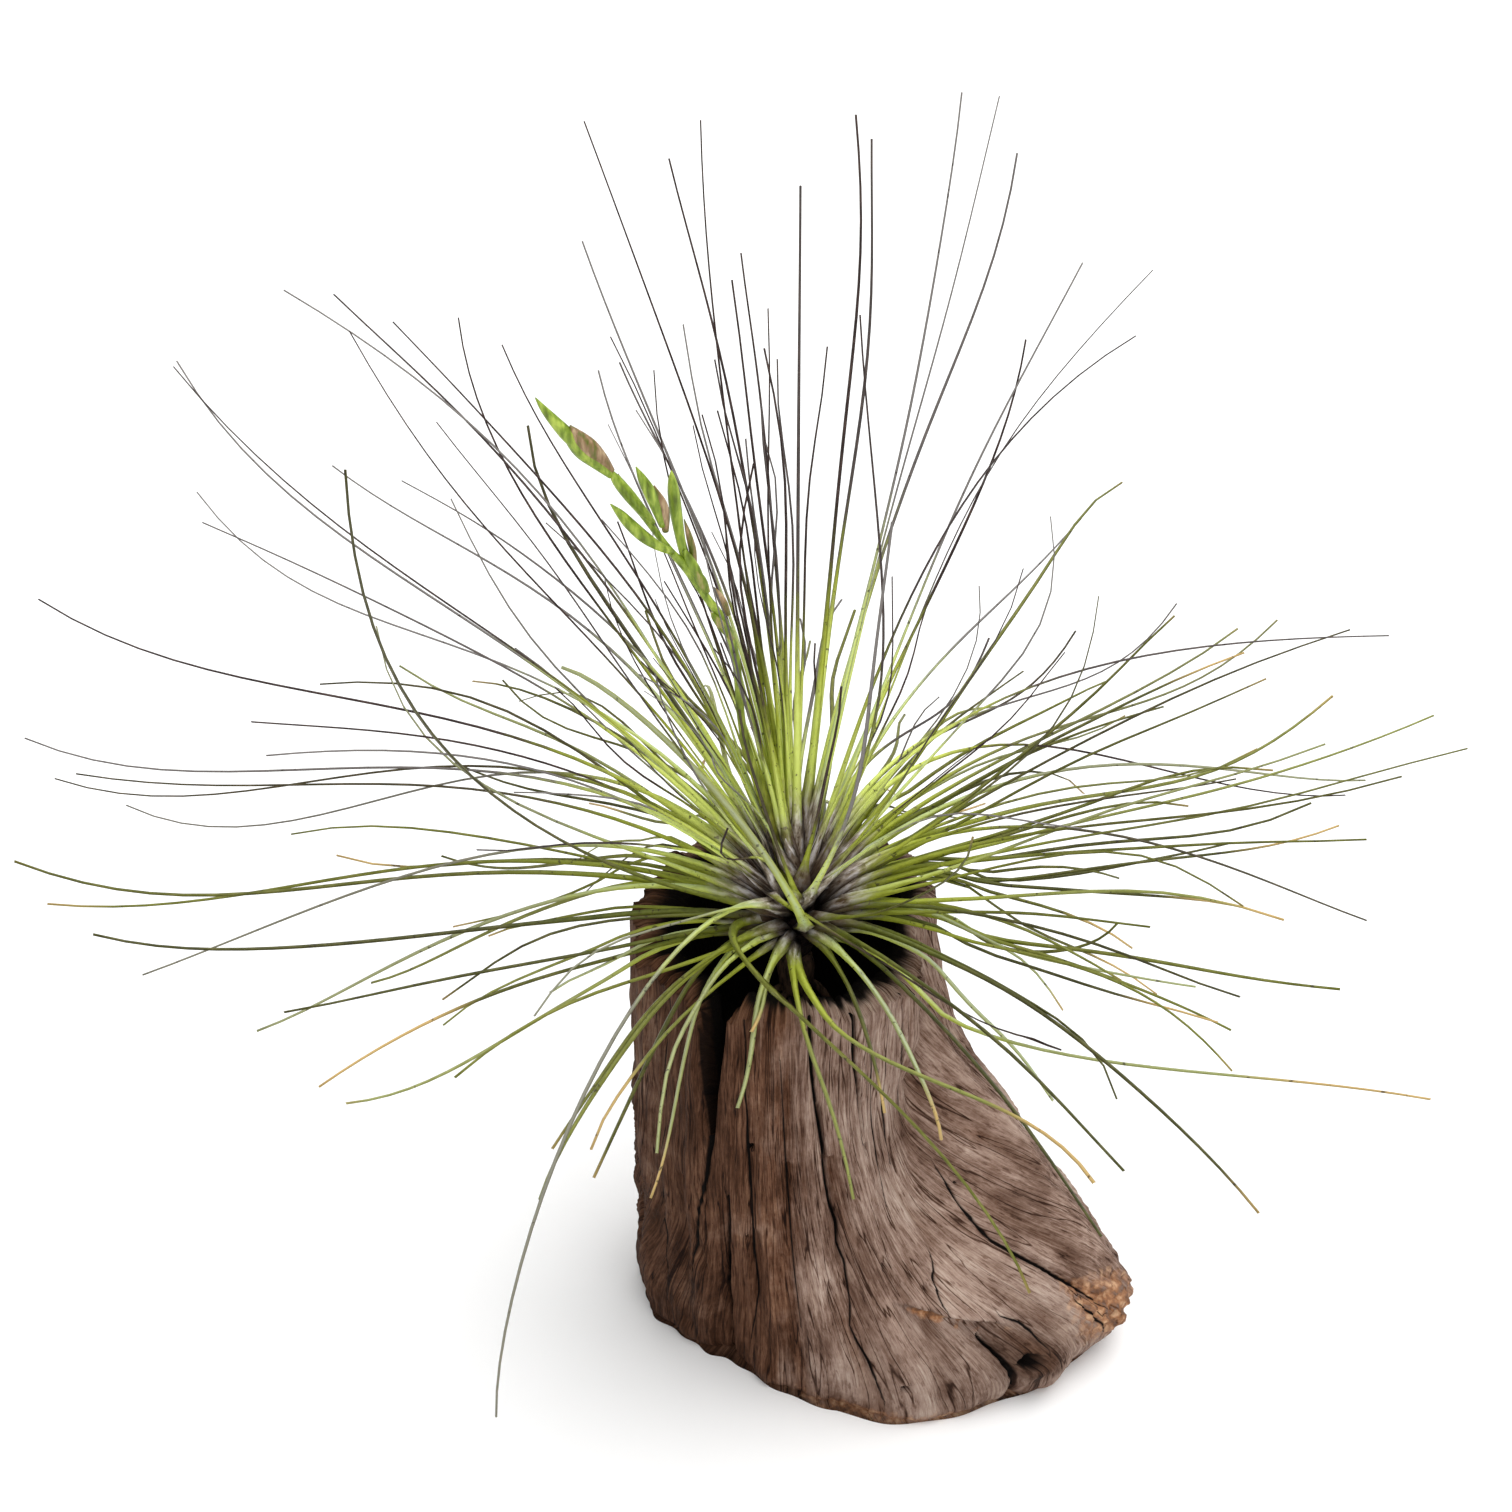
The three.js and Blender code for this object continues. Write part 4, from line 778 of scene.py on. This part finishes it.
def scurfy_leaf():
    """Living leaf skin under fine silvery scales: lime to olive blades, sheaths greyed and browned
    by age, and ends that darken to purple-brown on upright leaves and dry to tan on low ones.
    Painted light and shade: the lime made brighter on steep leaves, a highlight along the channel,
    and brown-black shade where the sheaths clasp the stem."""
    material, add = new_material("scurfy_leaf")
    leaf, habit = (add("Attribute", attribute_name=name).outputs["Vector"] for name in ("leaf", "habit"))
    along, root_way, across = add("SeparateXYZ", {0: leaf}).outputs
    dusk, tone, dry = add("SeparateXYZ", {0: habit}).outputs
    place = add("TexCoord").outputs["Object"]
    specks = add("TexNoise", {0: place, "Scale": 900, "Detail": 2})
    # Blotches 4 mm long, and streaks of scurf along the sheath, about 1 mm by 3 mm. Both differ
    # from leaf to leaf.
    unrolled = add("CombineXYZ", {0: root_way, 1: across})
    shift = add("VectorMath", {0: habit, 1: (0, 41, 17)}, operation="MULTIPLY")
    patterns = []
    for scale, roughness in (((0.28, 0.5, 0), 0.7), ((0.3, 1.3, 0), 0.6)):
        spot = add("VectorMath", {0: unrolled, 1: scale}, operation="MULTIPLY")
        spot = add("VectorMath", {0: spot, 1: shift}, operation="ADD")
        patterns.append(add("TexNoise", {0: spot, "Scale": 1, "Detail": 4, "Roughness": roughness}))
    blotch, mottle = patterns
    margin = add("Math", {0: across}, operation="ABSOLUTE")
    # Blade green: bright lime low down on the upright leaves, olive on the old ones. The lime is made
    # brighter still on steep leaves as painted light, for the little light they catch from above.
    young_and_painted_light = add("MapRange", {0: root_way, 1: 52, 2: 8, 3: 0, 4: 1.3})
    steep = add("MapRange", {0: dusk, 1: 0.4, 2: 1})
    young_and_painted_light = add("Math", {0: young_and_painted_light, 1: steep}, operation="MULTIPLY")
    shade = add("Math", {0: tone, 1: 0.95, 2: young_and_painted_light}, operation="MULTIPLY_ADD")
    shade = add("Math", {0: blotch, 1: 0.8, 2: shade}, operation="MULTIPLY_ADD")
    shade = add("MapRange", {0: shade, 1: 0.3, 2: 1.55})
    green = add("ValToRGB", {0: shade},
                stops=[(0.02, "#45490a"), (1, "#e4f07c"), (0.3, "#777d18"), (0.62, "#abb436")])
    # Silvery scales lie thickest along the channel; the pale streak there is also a painted highlight.
    channel = add("MapRange", {0: margin, 1: 0.8, 2: 0, 3: 0.1, 4: 1.3})
    pale = add("MapRange", {0: tone, 1: 0.7, 2: 0.92, 3: 0.14, 4: 1.3})
    silver_and_highlight = add("Math", {0: channel, 1: blotch}, operation="MULTIPLY")
    silver_and_highlight = add("Math", {0: silver_and_highlight, 1: pale}, operation="MULTIPLY")
    # The outer half darkens, most on long upright leaves.
    reach = add("Math", {0: along, 1: 0.55}, operation="MULTIPLY")
    reach = add("Math", {0: blotch, 1: 0.35, 2: reach}, operation="MULTIPLY_ADD")
    reach = add("Math", {0: root_way, 1: 0.003, 2: reach}, operation="MULTIPLY_ADD")
    late = add("MapRange", {0: dusk, 1: 0.6, 2: 1, 3: 0, 4: 0.1})
    reach = add("Math", {0: reach, 1: late}, operation="SUBTRACT")
    far = add("MapRange", {0: reach, 1: 0.33, 2: 0.55}, interpolation_type="SMOOTHSTEP")
    dark = add("MapRange", {0: dusk, 1: 0, 2: 0.6, 3: 0.5, 4: 1})
    far = add("Math", {0: far, 1: dark}, operation="MULTIPLY")
    night = add("ValToRGB", {0: blotch}, stops=[(0.35, "#1e110f"), (0.7, "#57443e"), (0.5, "#332420")])
    ashen = add("MapRange", {0: tone, 1: 0.5, 2: 0.9, 3: 0, 4: 0.75})
    night = add("Mix", {0: ashen, 6: night, 7: linear("#8c8884")}, data_type="RGBA")
    # The last part of an old leaf is dry.
    end = add("Math", {0: dry, 1: 0.38, 2: along}, operation="MULTIPLY_ADD")
    end = add("MapRange", {0: end, 1: 1, 2: 1.12})
    # Brown bruises and dark flecks on the green.
    bruise = add("MapRange", {0: blotch, 1: 0.64, 2: 0.7, 3: 0, 4: 0.6})
    fleck = add("MapRange", {0: specks, 1: 0.66, 2: 0.71, 3: 0, 4: 0.75})
    blade = green
    for share, layer in (
        (silver_and_highlight, linear("#bfd0a8")), (far, night), (end, linear("#c2a468")),
        (bruise, linear("#4a3c1c")), (fleck, linear("#33281f")),
    ):
        blade = add("Mix", {0: share, 6: blade, 7: layer}, data_type="RGBA")
    # Sheath: brown-black along its margins, with grey and lavender scurf between, and brown-black
    # painted shade where it clasps the stem, deep among the others.
    scurf = add("ValToRGB", {0: mottle}, stops=[(0.36, "#54412f"), (0.6, "#f8f2f4"), (0.5, "#bdb0a2")])
    husk = add("MapRange", {0: margin, 1: 0.45, 2: 1})
    aged = add("MapRange", {0: tone, 1: 0.6, 2: 0.1, 3: 0, 4: 0.7})
    emerged = add("MapRange", {0: root_way, 1: 1, 2: 5.5})
    sheath = scurf
    for share, layer in ((husk, "#2a1e15"), (aged, "#5e4836")):
        sheath = add("Mix", {0: share, 6: sheath, 7: linear(layer)}, data_type="RGBA")
    sheath = add("Mix", {0: emerged, 6: linear("#17100d"), 7: sheath}, data_type="RGBA")
    # Its ragged edge lies 4 to 11 mm out on low leaves and 10 to 17 mm out on upright ones.
    short = add("MapRange", {0: dusk, 1: 0, 2: 1, 3: 3, 4: -3.5})
    edge = add("Math", {0: root_way, 1: short}, operation="ADD")
    edge = add("Math", {0: blotch, 1: 8, 2: edge}, operation="MULTIPLY_ADD")
    out = add("MapRange", {0: edge, 1: 11, 2: 18})
    colour = add("Mix", {0: out, 6: sheath, 7: blade}, data_type="RGBA")
    bump = add("Bump", {"Height": specks, "Strength": 0.5, "Distance": 0.12 * MM})
    shader = add("BsdfPrincipled", {
        "Base Color": colour, "Roughness": 0.5, "Specular IOR Level": 0.22, "Normal": bump})
    add("OutputMaterial", {"Surface": shader})
    return material


spike_points = np.vstack(
    [smooth_path([row[:3] for row in STALK], 96)] + [smooth_path(path, 24) for path in SPIKELETS]
)
# Each group: its leaves, seed, steps along a leaf, breadth and how far the leaves waver.
LEAF_GROUPS = {
    "long": (SINGLE_LEAVES, 11, LONG_LEAF_STEPS, 1, 2.4),
    "crossing": (CROWN_LEAVES, 109921, LONG_LEAF_STEPS, 1.15, 2.4),
}
RULES = {
    "bundle": BUNDLE_LEAVES, "heart": HEART_LEAVES, "back": BACK_LEAVES, "right": RIGHT_LEAVES,
    "low": LOW_LEAVES,
}
for group, rule in RULES.items():
    LEAF_GROUPS[group] = (leaves_by_rule(rule), rule["seed"] + 1, SHORT_LEAF_STEPS, 0.9, 5)
leaf_skin = scurfy_leaf()
for group, settings in LEAF_GROUPS.items():
    name = group + "_leaves"
    show(name, bent_leaves(name, *settings), leaf_skin, "leaf_rosette")


# Leafy stem: the short thick stem that all the sheaths clasp, dark with the husks of old leaves
# and darker still as painted shade, deep among the sheaths. It stands on its woody foot in the
# mouth of the hollow, and the leaves hide it.
STEM_PROFILE = [(2.2, 73.5), (3.4, 76.5), (3.8, 81), (3.2, 84.5), (1.6, 86.5)]
# Lumps of half a millimetre, from a seed, so that they come out the same each time.
LUMP = 0.5
LUMP_SEED = 7
noise.seed_set(LUMP_SEED)


def turned_on_stem(name, profile, sides):
    """A closed solid turned round the stem's axis from a list of radius and height."""
    turned = bmesh.new()
    points = [turned.verts.new((radius, 0, height)) for radius, height in profile]
    first, last = (turned.verts.new((0, 0, end.co.z)) for end in (points[0], points[-1]))
    points = [first, *points, last]
    edges = [turned.edges.new(pair) for pair in zip(points, points[1:])]
    bmesh.ops.subdivide_edges(turned, edges=edges, cuts=3)
    spin_round_axis(turned, sides)
    for vertex in turned.verts:
        vertex.co.x += STEM_X
        vertex.co += LUMP * noise.noise_vector(vertex.co * 0.7)
        vertex.co *= MM
    mesh = as_mesh(name, turned)
    mesh.shade_smooth()
    return mesh


def dead_husk(name, dark, pale):
    """Dead husk and thin bark: dull, fibrous, brown-black to dusty brown."""
    material, add = new_material(name)
    place = add("TexCoord").outputs["Object"]
    # Fibres 0.7 mm wide that run up for 3 mm.
    stretched = add("VectorMath", {0: place, 1: (1400, 1400, 350)}, operation="MULTIPLY")
    fibre = add("TexNoise", {0: stretched, "Scale": 1, "Detail": 3})
    colour = add("ValToRGB", {0: fibre}, stops=[(0.35, dark), (0.7, pale)])
    bump = add("Bump", {"Height": fibre, "Strength": 0.7, "Distance": 0.3 * MM})
    shader = add("BsdfPrincipled", {
        "Base Color": colour, "Roughness": 0.9, "Specular IOR Level": 0.2, "Normal": bump})
    add("OutputMaterial", {"Surface": shader})
    return material


stem_mesh = turned_on_stem("leafy_stem", STEM_PROFILE, 40)
show("leafy_stem", stem_mesh, dead_husk("leaf_husks_and_painted_shade", "#0d0806", "#2c1f18"), "leaf_rosette")


# Stem foot with roots: the woody lower end of the stem, held up by wiry roots that run down to
# the floor of the hollow and grip it.
STEM_FOOT_PROFILE = [(1.2, 64), (2.6, 66), (3.2, 70), (2.6, 73.2)]
ROOT_COUNT = 6
ROOT_REACH = 9
# Share of the reach, height, how much lower each next root lies there, and radius.
ROOT_POINTS = [(0.05, 68, 0.3, 0.6), (0.5, 66, 0.3, 0.7), (0.85, 61, 0.3, 0.55), (0.8, 56.05, 0, 0.4)]
ROOT_STEPS = 20


def bent_rods(name, rods, sides):
    """Rods bent along smooth paths, each given as its rows of x, y, z and radius and its steps."""
    joined = bmesh.new()
    for rows, steps in rods:
        rod = plain_rod(sides, steps)
        corners = np.array([vertex.co[:] for vertex in rod.vertices])
        path = smooth_path(rows, steps)
        tangent = unit(np.gradient(path[:, :3], axis=0))
        across = unit(np.cross(tangent, (0.35, 0.9, 0.25)))
        upward = np.cross(across, tangent)
        level = np.rint(corners[:, 2] * steps).astype(int)
        girth = path[level, 3][:, None]
        moved = path[level, :3] + girth * (corners[:, :1] * across[level] + corners[:, 1:2] * upward[level])
        rod.vertices.foreach_set("co", (moved * MM).ravel())
        joined.from_mesh(rod)
        bpy.data.meshes.remove(rod)
    bmesh.ops.recalc_face_normals(joined, faces=joined.faces)
    mesh = as_mesh(name, joined)
    mesh.shade_smooth()
    return mesh


root_rods = []
for i in range(ROOT_COUNT):
    reach = ROOT_REACH * (0.85 + 0.15 * math.sin(5 * i))
    turn = math.radians(360 / ROOT_COUNT * i + 20 * math.sin(3 * i))
    out_x, out_y = reach * math.cos(turn), reach * math.sin(turn)
    rows = [
        (STEM_X + out_x * share, out_y * share, z - lower * i, girth)
        for share, z, lower, girth in ROOT_POINTS
    ]
    root_rods.append((rows, ROOT_STEPS))
root_bark = dead_husk("root_bark", "#1d140f", "#5a4436")
foot_mesh = turned_on_stem("stem_foot", STEM_FOOT_PROFILE, 32)
show("stem_foot", foot_mesh, root_bark, "stem_foot_with_roots")
show("wiry_roots", bent_rods("wiry_roots", root_rods, 8), root_bark, "stem_foot_with_roots")


# Flower spike: a smooth green stalk with a bract at each joint, which ends in a budding spikelet;
# three more spikelets branch off below it. Every bud sits in a browned, membrane-edged bract.
STALK_STEPS = 110
BUD_STEPS = 22
SPIKE_SIDES = 14
# The stalk ends before the last points, which the end buds hide, and is slimmer than the solid,
# whose radius takes in the bracts.
STALK_HIDDEN_POINTS = 5
STALK_SLIMMING = 0.74
# Bracts and buds: browning, then points with the radius at each.
BUDS = [
    (0.1, [(-27, -9, 167.4, 0.4), (-30.4, -10, 171, 0.9), (-32.5, -10.6, 173.4, 1.1),
        (-34.6, -10.6, 175.9, 0.85), (-36.2, -10.6, 178, 0.5), (-37.2, -10.6, 179.6, 0.1)]),
    (0.1, [(-26.6, -8.9, 166.2, 0.6), (-28.6, -9.5, 168.6, 1.1), (-30.4, -9.9, 170.7, 1.5),
        (-31.8, -10.3, 172.6, 1.3), (-32.8, -10.5, 174.2, 0.7), (-33.2, -10.6, 175, 0.1)]),
    (0.85, [(-26.4, -9, 167, 0.4), (-27.9, -9.6, 169.3, 0.95), (-29.5, -10.2, 171.3, 1.35),
        (-30.9, -10.5, 172.9, 1.2), (-31.8, -10.6, 174.2, 0.7), (-32.3, -10.6, 175.2, 0.1)]),
    (0.35, [(-20.6, -7.8, 157.7, 0.5), (-22.3, -8.2, 160.1, 0.8), (-24.1, -8.6, 162.8, 0.95),
        (-25.8, -8.9, 165.4, 0.8), (-26.9, -9, 167.4, 0.15)]),
    (0.05, [(-19.1, -10.4, 158.6, 0.55), (-19.9, -11, 161.8, 0.85), (-20.9, -11.4, 164.7, 0.95),
        (-21.9, -11.5, 166.9, 0.7), (-22.8, -11.5, 168.9, 0.1)]),
    (0.85, [(-18.7, -9.8, 157.4, 0.5), (-18.8, -10.4, 160.4, 0.85), (-19.2, -10.8, 162.6, 0.8),
        (-19.9, -11, 164.6, 0.4), (-20.2, -11, 165.6, 0.08)]),
    (0.3, [(-17.7, -9.4, 153.6, 0.5), (-20.1, -10.6, 155.5, 0.75), (-22, -11.2, 157.3, 0.95),
        (-23.9, -11.6, 159.5, 0.9), (-25.3, -11.7, 161.3, 0.65), (-26.7, -11.7, 162.9, 0.1)]),
    (0.05, [(-15.8, -7, 150.6, 0.6), (-16.6, -6.5, 154.4, 0.75), (-17.2, -6, 158.6, 0.95),
        (-17.5, -6, 161.6, 0.95), (-17.7, -6, 163.9, 0.65), (-17.8, -6, 165.5, 0.1)]),
    (0.8, [(-14.6, -6.4, 149.6, 0.5), (-14.8, -6, 152.2, 0.6), (-15.4, -5.8, 154.9, 0.45),
        (-16, -5.8, 157.3, 0.08)]),
    (0.15, [(-13.4, -7.2, 147.2, 0.6), (-14.4, -7.2, 149.4, 0.85), (-15.4, -7.3, 151.4, 0.75),
        (-16, -7.6, 153, 0.3)]),
    (0.6, [(-12.6, -7.2, 145.6, 0.5), (-13.4, -7.4, 147.4, 0.85), (-14.1, -7.6, 149, 0.6),
        (-14.4, -7.8, 150, 0.1)]),
    (0.8, [(-9.4, -5.8, 140.8, 0.4), (-10.2, -5.6, 142.8, 0.65), (-11.1, -5.5, 144.5, 0.45),
        (-11.8, -5.5, 145.6, 0.08)]),
    (0.6, [(-8.9, -6.8, 137.2, 0.5), (-10.3, -7.6, 139.8, 0.75), (-11.5, -8, 141.6, 0.5),
        (-12.1, -8.2, 142.7, 0.08)]),
]


def waxy_stalk():
    """Young stalk and bracts: smooth, waxy, bright green, browned and purple at bract margins."""
    material, add = new_material("waxy_stalk")
    browning = add("Attribute", attribute_name="browning").outputs["Fac"]
    place = add("TexCoord").outputs["Object"]
    # Streaks 1 mm wide that run up for 4 mm.
    streaked = add("VectorMath", {0: place, 1: (1100, 1100, 260)}, operation="MULTIPLY")
    mottle = add("TexNoise", {0: streaked, "Scale": 1, "Detail": 3})
    green = add("ValToRGB", {0: mottle}, stops=[(0.3, "#52620a"), (0.7, "#a8bb4a"), (0.5, "#789026")])
    olive = add("ValToRGB", {0: mottle}, stops=[(0.35, "#4e4c0c"), (0.7, "#96963c"), (0.52, "#74741e")])
    brown = add("ValToRGB", {0: mottle}, stops=[(0.34, "#5c4526"), (0.68, "#b39a74"), (0.5, "#86694a")])
    # The foot of the stalk, among the leaves, is as olive as they are.
    height = add("SeparateXYZ", {0: place}).outputs["Z"]
    foot = add("MapRange", {0: height, 1: 138 * MM, 2: 100 * MM})
    browned = add("Math", {0: mottle, 1: 1.2, 2: browning}, operation="MULTIPLY_ADD")
    browned = add("MapRange", {0: browned, 1: 1.1, 2: 1.45})
    colour = green
    for share, layer in ((foot, olive), (browned, brown)):
        colour = add("Mix", {0: share, 6: colour, 7: layer}, data_type="RGBA")
    bump = add("Bump", {"Height": mottle, "Strength": 0.3, "Distance": 0.1 * MM})
    shader = add("BsdfPrincipled", {
        "Base Color": colour, "Roughness": 0.42, "IOR": 1.45, "Normal": bump})
    add("OutputMaterial", {"Surface": shader})
    return material


shown_stalk = STALK[:-STALK_HIDDEN_POINTS]
spike_rods = [([(x, y, z, STALK_SLIMMING * radius) for x, y, z, radius in shown_stalk], STALK_STEPS)]
spike_rods += [(rows, BUD_STEPS) for unused, rows in BUDS]
spike_mesh = bent_rods("flower_spike", spike_rods, SPIKE_SIDES)
rod_corners = [SPIKE_SIDES * (steps + 1) for unused, steps in spike_rods]
browning = np.repeat([0] + [brown for brown, unused in BUDS], rod_corners)
set_attribute(spike_mesh, "browning", browning)
show("flower_spike_fine", spike_mesh, waxy_stalk(), "flower_spike")


# Floor and light: a seamless pale studio surface, a very broad key light almost straight above,
# a weaker one in front and an even white surround.
scene = bpy.context.scene
scene.view_settings.view_transform = "Standard"
sheet = bmesh.new()
bmesh.ops.create_grid(sheet, x_segments=1, y_segments=1, size=30)
floor = bpy.data.objects.new("floor", as_mesh("floor", sheet))
paper, add = new_material("pale_paper")
shader = add("BsdfPrincipled", {"Base Color": linear("#fdfdfd"), "Roughness": 0.9})
add("OutputMaterial", {"Surface": shader})
floor.data.materials.append(paper)
scene.collection.objects.link(floor)

# Where each lamp stands as seen from the plant, how wide it looks in degrees, and its strength.
LAMPS = [("key", (0.3, 0.14, 1.05), 60, 2.4), ("front", (0.1, -0.9, 0.7), 60, 0.95)]
for name, place, breadth, strength in LAMPS:
    light = bpy.data.lights.new(name, "SUN")
    light.angle = math.radians(breadth)
    light.energy = strength
    lamp = bpy.data.objects.new(name, light)
    lamp.rotation_euler = (-Vector(place)).to_track_quat("-Z", "Y").to_euler()
    scene.collection.objects.link(lamp)

world = bpy.data.worlds.new("studio")
scene.world = world
world.use_nodes = True
world.node_tree.nodes["Background"].inputs["Color"].default_value = (1, 1, 1, 1)
world.node_tree.nodes["Background"].inputs["Strength"].default_value = 0.5
